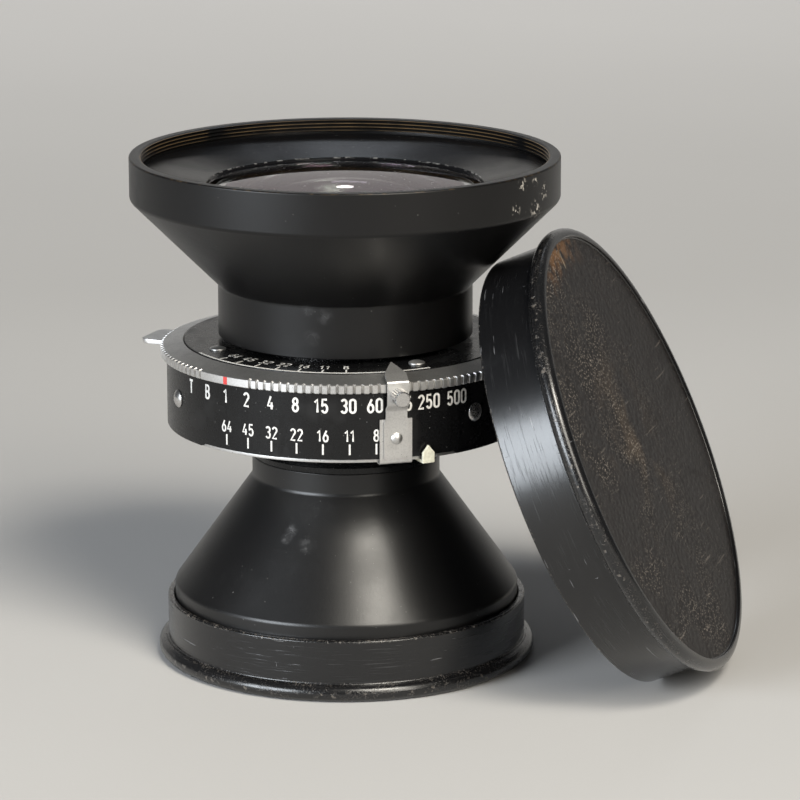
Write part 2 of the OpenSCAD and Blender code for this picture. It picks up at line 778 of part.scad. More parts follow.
module blade_ring() {
    color("#b09a62") difference() {
        washer(blade_pivot_r - ring_inset, blade_bore_r - turn_play, z_blade_ring, layer_plate_t);
        for (i = [0 : blade_count - 1])
            rotate(i * 360 / blade_count)
                cam_slot(blade_pivot_r, blade_pin_side, -blade_swing, -blade_ring_travel,
                    pin_r + 2 * turn_play, z_blade_ring - eps, layer_plate_t + 2 * eps);
        at_side(blade_drive_side) translate([blade_drive_place, 0, z_blade_ring - eps])
            cylinder(r = pin_r, h = layer_plate_t + 2 * eps);
    }
}

module blade_drive_pin() {
    rise = 1.2;
    color("silver") at_side(blade_drive_side) translate([blade_drive_place, 0, z_blade_ring])
        cylinder(r = pin_r, h = z_mech_top + rise - z_blade_ring);
}

// The aperture lever: a foot under the control ring, a wide lower half on the drum, a narrow
// upper half outside the speed ring, and a pointed tip over it that points at the scale
lever_in = case_r + lever_room;
lever_out = ring_r + lever_room;
z_foot = z_iris_ring - lever_t;
z_lever_step = z_case + lever_step_h;
z_lever_bend = z_case + lever_bend_h;
z_lever_top = z_ring + speed_edge_h + lever_room;
module aperture_lever() {
    foot_in = iris_ring_d / 2 - lever_foot_l;
    tip_in = lever_out - lever_tip_l;
    z_tip = z_lever_top + lever_tip_rise;
    color("silver") difference() {
        union() {
            sheet_strip(lever_side, lever_low_w) polygon([
                [foot_in, z_foot], [lever_in + lever_t, z_foot], [lever_in + lever_t, z_lever_step],
                [lever_in, z_lever_step], [lever_in, z_iris_ring], [foot_in, z_iris_ring]
            ]);
            sheet_strip(lever_side, lever_top_w) polygon([
                [lever_in, z_lever_step - lever_t], [lever_in + lever_t, z_lever_step - lever_t],
                [lever_in + lever_t, z_lever_bend - lever_t], [lever_out + lever_t, z_lever_bend - lever_t],
                [lever_out + lever_t, z_lever_top + lever_t], [tip_in, z_tip + lever_t], [tip_in, z_tip],
                [lever_out, z_lever_top], [lever_out, z_lever_bend], [lever_in, z_lever_bend]
            ]);
        }
        // the tip narrows to a point
        for (flip = [-1, 1])
            at_side(lever_side) translate([tip_in, 0, z_lever_top - eps])
                rotate(flip * tip_half_angle) translate([-tip_cut, flip > 0 ? 0 : -tip_cut, 0])
                cube([3 * tip_cut, tip_cut, tip_cut]);
        for (z = [z_rivet, z_knob])
            outward(lever_side, case_r, z) cylinder(d = rivet_shank_d, h = lever_out - case_r + cut_over);
    }
}
lever_foot_l = 4.5;
lever_tip_l = 3.8;
tip_half_angle = 35;
tip_cut = 5;
rivet_shank_d = 0.8;
rivet_h = 3.9;
z_rivet = z_case + rivet_h;
knob_drop = 0.4;
z_knob = z_ring - knob_drop;

module aperture_knob() {
    color("silver") {
        outward(lever_side, lever_out + lever_t, z_knob) cylinder(d = knob_d, h = knob_l);
        outward(lever_side, lever_out, z_knob) cylinder(d = rivet_shank_d, h = lever_t + eps);
    }
}

module aperture_rivet() {
    head_h = 0.5;
    head_r = rivet_d / 2;
    color("silver") outward(lever_side, lever_in, z_rivet) {
        cylinder(d = rivet_shank_d, h = lever_t + eps);
        intersection() {
            translate([0, 0, lever_t]) cylinder(r = head_r, h = head_h);
            translate([0, 0, lever_t + head_h - crown_r(head_r, head_h)]) sphere(crown_r(head_r, head_h));
        }
    }
}

// The white pointer on the control ring, which stands against the drum's lower scale
module aperture_pointer() {
    foot_l = 3;
    foot_in = iris_ring_d / 2 - foot_l;
    point_half_angle = 40;
    z_point = z_case + pointer_h;
    color("white") difference() {
        sheet_strip(lever_side + pointer_turn, pointer_w) polygon([
            [foot_in, z_foot], [lever_in + lever_t, z_foot], [lever_in + lever_t, z_point],
            [lever_in, z_point], [lever_in, z_iris_ring], [foot_in, z_iris_ring]
        ]);
        for (flip = [-1, 1])
            outward(lever_side + pointer_turn, case_r, z_point) rotate(flip * point_half_angle)
                translate([0, flip > 0 ? 0 : -pointer_w, 0])
                cube([2 * pointer_w, pointer_w, lever_room + lever_t + cut_over]);
    }
}

// The cocking lever: a ring around the front tube, an arm, and a tab out through the drum
z_cocking = z_mech_top + layer_gap;
module cocking_lever() {
    ring_w = 4;
    ring_out_r = tube_r + ring_w;
    arm_in = 4.5;
    arm_r = case_bore_r - arm_in;
    arm_t = 1.6;
    arm_lap = 0.5;
    tab_round = 1.5;
    color("silver") {
        washer(tube_r + turn_play, ring_out_r, z_cocking, lever_plate_t);
        at_side(cocking_side) {
            translate([ring_out_r - arm_lap, -cocking_w / 2, z_cocking])
                cube([arm_r - ring_out_r + arm_lap, cocking_w, lever_plate_t]);
            translate([arm_r - arm_t, -cocking_w / 2, z_cocking])
                cube([arm_t, cocking_w, z_tab + lever_plate_t - z_cocking]);
            translate([arm_r - arm_t, -cocking_w / 2, z_tab])
                cube([lever_reach - tab_round - arm_r + arm_t, cocking_w, lever_plate_t]);
            for (flip = [-1, 1])
                translate([lever_reach - tab_round, flip * (cocking_w / 2 - tab_round), z_tab])
                    cylinder(r = tab_round, h = lever_plate_t);
            translate([lever_reach - tab_round - eps, tab_round - cocking_w / 2, z_tab])
                cube([tab_round + eps, cocking_w - 2 * tab_round, lever_plate_t]);
        }
    }
}

// The release lever turns on a post inside the drum, and its tab comes out through a window
release_in = 4.5;
release_place = case_bore_r - release_in;
release_post_d = 2;
release_hub_r = 2.2;
release_w = 3.2;
release_bar_l = 13;
release_bar_turn = 38;
module release_frame() {
    at_side(release_side) translate([release_place, 0, z_tab]) rotate(-release_bar_turn) children();
}
module release_lever() {
    color("silver") release_frame() difference() {
        union() {
            cylinder(r = release_hub_r, h = lever_plate_t);
            translate([0, -release_w / 2, 0]) cube([release_bar_l, release_w, lever_plate_t]);
            translate([release_bar_l, 0, 0]) cylinder(d = release_w, h = lever_plate_t);
        }
        translate([0, 0, -eps])
            cylinder(r = release_post_d / 2 + turn_play, h = lever_plate_t + 2 * eps);
    }
}

// The window follows the lever's bar over its swing
module release_window() {
    release_frame() for (swing = [0 : 1 : release_travel])
        rotate(swing) translate([release_hub_r, -release_w / 2 - window_room, -tab_room])
            cube([release_bar_l, release_w + 2 * window_room, lever_plate_t + 2 * tab_room]);
}

module release_post() {
    color("silver") at_side(release_side) translate([release_place, 0, z_mech])
        cylinder(d = release_post_d, h = z_tab + lever_plate_t - z_mech);
}

// The spring that brings the release lever back, as its outer form
module release_spring() {
    post_room = 0.1;
    wire_d = 0.8;
    inner_r = release_post_d / 2 + post_room;
    color("#8a8f96") at_side(release_side) translate([release_place, 0, 0])
        washer(inner_r, inner_r + wire_d, z_mech_top, z_tab - layer_gap - z_mech_top);
}

// The flash-sync selector slides on the mechanism plate's rim
sync_w = 4;
z_sync = z_mech + mech_rim_h + layer_gap;
module sync_selector() {
    inner_turn = 9;
    inner_w = 3.4;
    wall_room = 0.3;
    tab_l = 2.2;
    tab_lap = 1;
    color("silver") {
        ring_sector(sync_side - inner_turn, sync_side + inner_turn, case_bore_r - inner_w,
            case_bore_r - wall_room, z_sync, lever_plate_t);
        at_side(sync_side) translate([case_bore_r - tab_lap, -sync_w / 2, z_sync])
            cube([tab_lap + case_wall_t + tab_l, sync_w, lever_plate_t]);
    }
}

// The cable-release socket and the flash socket stand out of the drum's side
z_socket = z_case + case_h / 2;
cable_hole_room = 0.8;
module socket_tube(side, outer_d, bore_d, length) {
    outward(side, 0, z_socket) difference() {
        translate([0, 0, case_r - cut_over]) cylinder(d = outer_d, h = length + cut_over);
        translate([0, 0, case_r - 2 * cut_over]) cylinder(d = bore_d, h = length + 3 * cut_over);
        // the foot follows the drum's round wall
        rotate([0, -90, 0]) cylinder(r = case_r, h = 2 * outer_d, center = true);
    }
}

module cable_socket() {
    color("silver") socket_tube(cable_side, cable_socket_d, cable_bore_d, cable_socket_l);
}

module flash_socket() {
    color("silver") socket_tube(flash_side, flash_socket_d, flash_bore_d, flash_l);
}
flash_l = 3;

// The flash socket's centre contact with its insulating foot in the drum's wall
module flash_contact() {
    foot_t = 0.6;
    pin_drop = 0.4;
    color("#c8a850") outward(flash_side, case_bore_r, z_socket) {
        cylinder(d = flash_bore_d, h = foot_t);
        cylinder(d = flash_contact_d, h = case_wall_t + flash_l - pin_drop);
    }
}

// The speed ring turns around the front plate's lip, and carries the cam plate
module speed_ring() {
    z_edge = z_ring + speed_edge_h;
    z_crest = z_edge + speed_slope_h;
    z_cam_seat = z_ring + speed_cam_t + seat_play;
    lip_r = ring_bore_r + ring_lip;
    cam_r = lip_r + ring_web;
    z_lip = z_carrier + carrier_lip_t + layer_gap;
    color("silver") rotate_extrude() polygon([
        [cam_r, z_ring], [ring_r, z_ring], [ring_r, z_edge], [ring_bore_r, z_crest],
        [ring_bore_r, z_lip], [lip_r, z_lip], [lip_r, z_cam_seat], [cam_r, z_cam_seat]
    ]);
}
carrier_lip_t = 0.6;

module speed_cam() {
    tube_room = 0.2;
    track_sides = [-150, -30, 90];
    track_turn = 70;
    track_half_w = 0.8;
    track_in = 5;
    color("#b09a62") difference() {
        washer(tube_r + tube_room, ring_bore_r + ring_lip + ring_web - seat_play, z_ring, speed_cam_t);
        // cam tracks for the timing levers
        for (side = track_sides)
            pin_slot(side, track_turn, ring_bore_r - track_in, track_half_w, z_ring - eps,
                speed_cam_t + 2 * eps);
    }
}

// The front plate sits on the front tube's shoulder, and its lip holds the speed ring down
module front_plate() {
    plate_r = ring_bore_r - 2 * turn_play;
    lip_r = plate_r + ring_lip;
    bore_r = tube_top_r + seat_play;
    color("#1a1a1c") difference() {
        rotate_extrude() polygon([
            [bore_r, z_carrier], [lip_r, z_carrier], [lip_r, z_carrier + carrier_lip_t],
            [plate_r, z_carrier + carrier_lip_t], [plate_r, z_scale], [bore_r, z_scale]
        ]);
        screw_holes(z_scale - screw_depth, screw_depth + eps);
    }
}

module scale_plate() {
    color("#161618") difference() {
        washer(tube_top_r + seat_play, ring_bore_r - 2 * turn_play, z_scale, scale_plate_t);
        screw_holes(z_scale - eps, scale_plate_t + 2 * eps);
    }
}

plate_screw_sides = [-66, 30, 162];
plate_shank_d = 1.4;
screw_depth = 0.9;
module screw_holes(z, h) {
    for (side = plate_screw_sides)
        at_side(side) translate([plate_screw_r, 0, z]) cylinder(d = plate_shank_d, h = h);
}

module scale_plate_screws() {
    head_h = 0.35;
    slot_w = 0.5;
    z_head = z_scale + scale_plate_t;
    color("silver") for (side = plate_screw_sides)
        at_side(side) translate([plate_screw_r, 0, 0]) difference() {
            union() {
                translate([0, 0, z_scale - screw_depth])
                    cylinder(d = plate_shank_d, h = screw_depth + scale_plate_t);
                translate([0, 0, z_head]) cylinder(d = plate_screw_d, h = head_h);
            }
            rotate(side) translate([0, 0, z_head + head_h])
                cube([plate_screw_d + 1, slot_w, head_h], center = true);
        }
}

// The tube that holds the front glass and screws into the shutter
module front_cell() {
    spigot_r = cell_r - cell_play;
    flange_w = 0.3;
    flange_r = tube_top_r + flange_w;
    tube_out_r = front_neck_d / 2 - barrel_wall_t - seat_play;
    top_r = front_bore_r + cell_wall_t;
    seat_in_r = front_bore_r - seat_w;
    lip_in_r = doublet_bore_r - doublet_lip;
    z_low = z_cell - spigot_l;
    boss_room = 0.2;
    z_boss = z_front_seat - boss_h - boss_room;
    neck_in_l = 1;
    color("#18181a") rotate_extrude() polygon([
        [doublet_bore_r, z_low], [spigot_r, z_low], [spigot_r, z_cell], [flange_r, z_cell],
        [flange_r, z_neck], [tube_out_r, z_neck], [tube_out_r, z_front_cone + neck_in_l],
        [top_r, z_front_seat], [top_r, z_name_ring - name_ring_drop - name_ring_t],
        [front_bore_r, z_name_ring - name_ring_drop - name_ring_t], [front_bore_r, z_front_seat],
        [seat_in_r, z_front_seat], [seat_in_r, z_boss], [lip_in_r, z_front_lip + doublet_lip],
        [lip_in_r, z_front_lip], [doublet_bore_r, z_front_lip]
    ]);
}

// The outer shell: a rim with the filter thread and its run-out groove, a cone and a neck
module front_barrel() {
    rim_r = front_rim_d / 2;
    neck_r = front_neck_d / 2;
    thread_r = filter_thread_d / 2;
    groove_r = thread_r + thread_groove_depth;
    rim_lip = 0.3;
    wall_out = barrel_wall_t * sqrt(2);
    inner_cone_r = name_seat_r - name_shelf_w;
    z_shelf = z_name_ring - name_ring_t;
    color("#141416") rotate_extrude() polygon([
        [neck_r - barrel_wall_t, z_neck], [neck_r, z_neck], [neck_r, z_front_cone],
        [rim_r, z_front_rim], [rim_r, z_top - rim_lip], [rim_r - rim_lip, z_top], [thread_r, z_top],
        [thread_r, z_thread], [groove_r, z_thread], [groove_r, z_name_ring],
        [name_seat_r, z_name_ring], [name_seat_r, z_shelf], [inner_cone_r, z_shelf],
        [inner_cone_r, z_front_cone + (inner_cone_r - neck_r + wall_out) / cone_slope],
        [neck_r - barrel_wall_t, z_front_cone + (wall_out - barrel_wall_t) / cone_slope]
    ]);
}

// The ring that covers the space around the front glass and holds the glass by its rim
module name_ring() {
    outer_r = name_seat_r - seat_play;
    lip_r = front_lens_r - lens_lip;
    lip_slope_w = 0.3;
    inner_r = lip_r + lip_slope_w;
    z_low = z_name_ring - name_ring_drop;
    color("#121214") rotate_extrude() polygon([
        [outer_r, z_name_ring], [inner_r, z_low], [lip_r, z_front_glass],
        [front_bore_r, z_front_glass], [front_bore_r, z_low - name_ring_t],
        [front_bore_r + cell_wall_t, z_low - name_ring_t],
        [name_seat_r - name_shelf_w, z_name_ring - name_ring_t],
        [outer_r, z_name_ring - name_ring_t]
    ]);
}

rear_cap();
front_cap();
rear_barrel();
rear_lens();
rear_lens_ring();
rear_doublet_outer();
rear_doublet_inner();
rear_doublet_ring();
shutter_case();
case_screws();
partition_plate();
mechanism_plate();
main_spring();
iris_ring();
iris_control_pin();
iris_cam_ring();
iris_pivots();
iris_leaf_1();
iris_leaf_2();
iris_leaf_3();
iris_leaf_4();
iris_leaf_5();
blade_ring();
blade_drive_pin();
blade_pivots();
shutter_blade_1();
shutter_blade_2();
shutter_blade_3();
shutter_blade_4();
shutter_blade_5();
aperture_lever();
aperture_knob();
aperture_rivet();
aperture_pointer();
cocking_lever();
release_lever();
release_post();
release_spring();
sync_selector();
cable_socket();
flash_socket();
flash_contact();
speed_ring();
speed_cam();
front_plate();
scale_plate();
scale_plate_screws();
front_cell();
front_barrel();
name_ring();
front_lens();
front_doublet_outer();
front_doublet_inner();
front_doublet_ring();
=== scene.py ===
import math

import bmesh
import bpy
from mathutils import Matrix, Vector


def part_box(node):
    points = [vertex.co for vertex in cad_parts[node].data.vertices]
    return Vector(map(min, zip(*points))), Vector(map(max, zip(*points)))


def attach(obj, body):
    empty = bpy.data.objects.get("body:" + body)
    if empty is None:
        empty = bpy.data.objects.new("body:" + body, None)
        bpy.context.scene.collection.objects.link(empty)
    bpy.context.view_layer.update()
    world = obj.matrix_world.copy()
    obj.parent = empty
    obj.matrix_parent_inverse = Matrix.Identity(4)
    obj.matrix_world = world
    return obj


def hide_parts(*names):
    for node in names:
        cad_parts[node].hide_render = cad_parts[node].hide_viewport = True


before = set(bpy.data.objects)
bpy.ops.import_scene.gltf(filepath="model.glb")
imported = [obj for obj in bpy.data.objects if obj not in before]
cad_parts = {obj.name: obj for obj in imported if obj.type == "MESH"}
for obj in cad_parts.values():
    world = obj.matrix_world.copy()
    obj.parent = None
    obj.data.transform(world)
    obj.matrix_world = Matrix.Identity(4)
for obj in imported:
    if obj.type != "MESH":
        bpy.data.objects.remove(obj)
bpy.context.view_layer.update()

# The camera stands some 60 cm in front of the lens, a little above it, and looks down on it.
# Its place, tilt and focal length were fitted to the round edges in the photograph.
MM = 0.001
camera_back = 620.96
camera_up = 195.175
camera_tilt = 13.8376
camera_pan = 0.8228
camera = bpy.data.cameras.new("camera")
camera.sensor_width = 36
camera.lens = 174.91
viewpoint = bpy.data.objects.new("viewpoint", camera)
viewpoint.location = (0, -camera_back * MM, camera_up * MM)
viewpoint.rotation_euler = (math.radians(90 - camera_tilt), 0, math.radians(-camera_pan))
bpy.context.collection.objects.link(viewpoint)
bpy.context.scene.camera = viewpoint
bpy.context.scene.view_settings.view_transform = "Standard"


# The floor is a wide sheet of pale matt paper that sweeps up far behind the lens. A soft window of cool
# light stands low at the left, warm lamps stand at the right, dimmer lamps hang behind, and a tiny one
# there puts a spark into the front glass.
class Wire:
    """A node's output that takes part in arithmetic: an expression on wires adds Math nodes."""

    def __init__(self, tree, socket):
        self.tree = tree
        self.socket = socket

    def joined(self, operation, first, second):
        """Adds the Math node for one operation on wires or numbers."""
        node = self.tree.nodes.new("ShaderNodeMath")
        node.operation = operation
        for socket, value in zip(node.inputs, (first, second)):
            if isinstance(value, Wire):
                self.tree.links.new(value.socket, socket)
            else:
                socket.default_value = value
        return Wire(self.tree, node.outputs[0])

    def __add__(self, other):
        return self.joined("ADD", self, other)

    def __sub__(self, other):
        return self.joined("SUBTRACT", self, other)

    def __rsub__(self, other):
        return self.joined("SUBTRACT", other, self)

    def __mul__(self, other):
        return self.joined("MULTIPLY", self, other)

    def __pow__(self, other):
        return self.joined("POWER", self, other)

    __radd__ = __add__
    __rmul__ = __mul__


class Finish:
    """A material made of nodes. Its points are millimetres from a place, along axes turned with it."""

    def __init__(self, name, place=(0, 0, 0), turn=(0, 0, 0)):
        self.material = bpy.data.materials.new(name)
        self.material.use_nodes = True
        self.tree = self.material.node_tree
        self.shader = self.tree.nodes["Principled BSDF"]
        object_point = self.node("TexCoord", out="Object")
        self.point = self.node(
            "Mapping",
            {"vector_type": "TEXTURE"},
            {"Vector": object_point, "Location": place, "Rotation": turn, "Scale": (MM, MM, MM)},
        )

    def node(self, kind, settings=None, sockets=None, out=0):
        """Adds any node: its settings first, then the values or links of its sockets."""
        node = self.tree.nodes.new("ShaderNode" + kind)
        for name, value in (settings or {}).items():
            setattr(node, name, value)
        self.feed(node, sockets or {})
        return Wire(self.tree, node.outputs[out])

    def feed(self, node, sockets):
        """Links wires to a node's sockets, and sets plain values on them."""
        for key, value in sockets.items():
            if isinstance(value, Wire):
                self.tree.links.new(value.socket, node.inputs[key])
            else:
                node.inputs[key].default_value = value

    def shade(self, **sockets):
        """Sets the shader's sockets, written as Base_Color for Base Color."""
        self.feed(self.shader, {name.replace("_", " "): value for name, value in sockets.items()})

    def noise(self, per_mm, detail=2.0, stretch=(1, 1, 1), at=None, slant=0.0):
        """Cloudy noise from 0 to 1, so many clouds to the millimetre, squeezed and slanted along its axes."""
        sockets = {"Vector": at or self.point, "Scale": stretch, "Rotation": (0, 0, math.radians(slant))}
        point = self.node("Mapping", {}, sockets)
        return self.node("TexNoise", {}, {"Vector": point, "Scale": per_mm, "Detail": detail}, "Fac")

    def dots(self, per_mm, size):
        """Small round dots at random places, 1 in their middle."""
        cell = self.node("TexVoronoi", {}, {"Vector": self.point, "Scale": per_mm}, "Distance")
        return 1 - self.rise(cell, 0.4 * size, size)

    def flecks(self, per_mm, size, share):
        """Dots at random places, where only a share of the places has one."""
        lot = self.node("TexVoronoi", {}, {"Vector": self.point, "Scale": per_mm}, "Color")
        return self.dots(per_mm, size) * self.rise(lot, 0.98 - share, 1.02 - share)

    def hairlines(self, cloud, width):
        """Thin lines along the edges of the clouds of a noise."""
        off = cloud - 0.5
        return 1 - self.rise(off * off, 0, width * width)

    def rise(self, value, low, high):
        """Goes smoothly from 0 to 1 as the value goes from low to high."""
        sockets = {"Value": value, "From Min": low, "From Max": high}
        return self.node("MapRange", {"interpolation_type": "SMOOTHSTEP"}, sockets)

    def patches(self, low, high, *noise):
        """Patches of a noise: 0 where it is under low, 1 where it is over high."""
        return self.rise(self.noise(*noise), low, high)

    def mixed(self, share, colour, other):
        """One colour with a share of another mixed into it."""
        sides = [c if isinstance(c, Wire) else (*c, 1) for c in (colour, other)]
        return self.node("Mix", {"data_type": "RGBA"}, {0: share, 6: sides[0], 7: sides[1]}, 2)

    def near(self, place, reach):
        """1 at a place, falling to 0 at a reach from it."""
        away = self.node("VectorMath", {"operation": "DISTANCE"}, {0: self.point, 1: place}, "Value")
        return 1 - self.rise(away, 0, reach)

    def ringed(self, radius, height, reach):
        """1 along a circle around the axis, falling to 0 at a reach from it."""
        out, up = self.radius() - radius, self.coordinate("Z") - height
        return 1 - self.rise((out * out + up * up) ** 0.5, 0, reach)

    def coordinate(self, axis):
        """One of the point's coordinates, by the letter of its axis."""
        return self.node("SeparateXYZ", {}, {0: self.point}, axis)

    def radius(self):
        """Distance from the piece's own axis."""
        x, y = self.coordinate("X"), self.coordinate("Y")
        return (x * x + y * y) ** 0.5

    def vector(self, x, y):
        """Two wires as one point in a plane."""
        return self.node("CombineXYZ", {}, {"X": x, "Y": y})

    def profile(self):
        """Radius and height, so that a noise on them runs around the piece as turning lines do."""
        return self.vector(self.radius(), self.coordinate("Z"))

    def unrolled(self, r):
        """A round wall laid out flat: millimetres around it and up it, with the seam at the back."""
        x, y = self.coordinate("X"), self.coordinate("Y")
        turn = self.node("Math", {"operation": "ARCTAN2"}, {0: x, 1: -1 * y})
        return self.vector(turn * r, self.coordinate("Z"))

    def bumped(self, height, depth_mm):
        """The surface's normal with a height from 0 to 1 pressed so deep into it."""
        return self.node("Bump", {}, {"Height": height, "Distance": depth_mm * MM, "Strength": 1.0})


paper = Finish("pale_paper")
mottle = paper.noise(0.004, 3)
fibres = paper.noise(1.6, 4)
paper.shade(
    Base_Color=paper.mixed(mottle, (0.49, 0.48, 0.47), (0.53, 0.52, 0.51)),
    Roughness=0.85 + 0.1 * fibres,
    Normal=paper.bumped(fibres, 0.02),
)
sweep_half, sweep_front, sweep_back, sweep_r, sweep_top = 3.0, -3.0, 1.5, 0.6, 1.0
sweep_steps = 16
bends = [math.radians(90 * i / sweep_steps) for i in range(sweep_steps + 1)]
rounded = [(sweep_back + sweep_r * math.sin(t), sweep_r - sweep_r * math.cos(t)) for t in bends]
bm = bmesh.new()
path = [(sweep_front, 0), *rounded, (sweep_back + sweep_r, sweep_top)]
line = [bm.verts.new((-sweep_half, y, z)) for y, z in path]
edges = [bm.edges.new(pair) for pair in zip(line, line[1:])]
across = bmesh.ops.extrude_edge_only(bm, edges=edges)["geom"]
far = [part for part in across if isinstance(part, bmesh.types.BMVert)]
bmesh.ops.translate(bm, vec=(2 * sweep_half, 0, 0), verts=far)
bmesh.ops.recalc_face_normals(bm, faces=bm.faces)
if bm.faces[:][0].normal.z < 0:
    bmesh.ops.reverse_faces(bm, faces=bm.faces)
floor_mesh = bpy.data.meshes.new("floor")
bm.to_mesh(floor_mesh)
bm.free()
floor_mesh.shade_smooth()
floor_mesh.materials.append(paper.material)
floor = bpy.data.objects.new("floor", floor_mesh)
bpy.context.collection.objects.link(floor)

room = bpy.data.worlds.new("room")
room.use_nodes = True
room.node_tree.nodes["Background"].inputs["Color"].default_value = (0.93, 0.96, 1.0, 1)
room.node_tree.nodes["Background"].inputs["Strength"].default_value = 0.09
bpy.context.scene.world = room

lens_middle = (0, 0, 0.045)
warm_light = (1.0, 0.95, 0.85)
white_light = (1.0, 0.99, 0.97)


def lamp(name, side, elevation, distance, size, power, colour, aim=lens_middle, shape="RECTANGLE"):
    """A soft lamp at an angle around the lens, counted from its front, aimed at its middle or past it."""
    light = bpy.data.lights.new(name, "AREA")
    light.shape = shape
    light.size, light.size_y = size
    light.energy = power
    light.color = colour
    stand = bpy.data.objects.new(name, light)
    around, up = math.radians(side), math.radians(elevation)
    away = Vector((math.sin(around) * math.cos(up), -math.cos(around) * math.cos(up), math.sin(up)))
    stand.location = Vector(lens_middle) + distance * away
    stand.rotation_euler = (stand.location - Vector(aim)).to_track_quat("Z", "Y").to_euler()
    stand.visible_camera = False
    bpy.context.collection.objects.link(stand)


lamp("window", -49, 14.5, 1.6, (0.9, 0.76), 31, (0.88, 0.94, 1.0))
lamp("warm_lamp", 29, 42, 1.6, (0.7, 0.95), 18, warm_light)
lamp("key_lamp", 28, 50, 1.6, (0.44, 0.34), 10, warm_light)
lamp("low_lamp", 33, 18, 1.6, (0.5, 0.35), 4.4, warm_light)
lamp("high_back_lamp", 176, 42, 1.4, (0.6, 0.24), 0.9, (0.85, 0.92, 1.0))
lamp("backdrop_lamp", 180, 52, 1.1, (1.2, 0.3), 10, white_light, aim=(0, 1.75, 0.45))
lamp("spark", 180, 18.5, 1.2, (0.017, 0.026), 0.006, white_light, shape="ELLIPSE")


# The rear cap is a soft black plastic moulding that pushes on to the rear rim. It has a round bead
# around its foot, and its lip and bead are worn and gritty from use.
def span(node):
    """Lowest and highest corner of a CAD node in millimetres."""
    return [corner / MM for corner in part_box(node)]


def turned(outline, steps=256):
    """Spins an outline of (radius, height) corners about the axis. A third number rounds a corner."""
    made = bmesh.new()
    corners = [made.verts.new((corner[0], 0, corner[1])) for corner in outline]
    for start, end in zip(corners, corners[1:] + corners[:1]):
        if start.co.x or end.co.x:
            made.edges.new((start, end))
    for width in sorted({corner[2] for corner in outline if len(corner) > 2}):
        alike = [vert for vert, corner in zip(corners, outline) if corner[2:] == (width,)]
        bmesh.ops.bevel(
            made, geom=alike, offset=width, segments=4, profile=0.5, affect="VERTICES", material=-1,
        )
    bmesh.ops.spin(
        made, geom=made.verts[:] + made.edges[:], cent=(0, 0, 0), axis=(0, 0, 1),
        angle=math.tau, steps=steps, use_merge=True,
    )
    bmesh.ops.remove_doubles(made, verts=made.verts, dist=1e-4)
    bmesh.ops.recalc_face_normals(made, faces=made.faces)
    return made


def arc(centre, radius, start, end, steps=10):
    """Points of an arc in radius and height, between two angles counted from straight outwards."""
    turns = [math.radians(start + (end - start) * i / steps) for i in range(steps + 1)]
    return [(centre[0] + radius * math.cos(t), centre[1] + radius * math.sin(t)) for t in turns]


def piece(made, name, body, finish, slot, *nodes):
    """Turns a mesh in millimetres into a piece that rides on a body and stands for CAD nodes."""
    bmesh.ops.scale(made, vec=(MM, MM, MM), verts=made.verts)
    mesh = bpy.data.meshes.new(name)
    made.to_mesh(mesh)
    made.free()
    mesh.shade_smooth()
    mesh.set_sharp_from_angle(angle=math.radians(32))
    mesh.materials.append(finish.material)
    shown = bpy.data.objects.new(name, mesh)
    bpy.context.collection.objects.link(shown)
    weights = shown.modifiers.new("face_weights", "WEIGHTED_NORMAL")
    weights.keep_sharp = True
    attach(shown, body)
    if nodes:
        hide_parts(*nodes)
    return shown


def cap_profile(rim_r, height, recess=0.0):
    """A cap's outline with its face down: bead, wall, lip, bore and the hollow in its face."""
    bore_r = rim_r + cap_play
    wall_r = bore_r + cap_wall
    bead_centre = (wall_r + bead_out - bead_r, bead_r)
    bead_top = 2 * bead_r
    face_r = wall_r + bead_out - face_rim
    foot = [(0, 0), *arc(bead_centre, bead_r, -90, bead_end)]
    if recess:
        hollow = [(0, recess), (face_r, recess, hollow_round), (face_r, hollow_edge)]
        foot = [*hollow, *arc(bead_centre, bead_r, -100, bead_end)]
    return [
        *foot, (wall_r + corner_out, bead_top - corner_down, corner_round),
        (wall_r, bead_top + corner_out, corner_round), (wall_r, height, lip_round),
        (bore_r, height, lip_round), (bore_r, cap_face, bore_round), (0, cap_face),
    ]


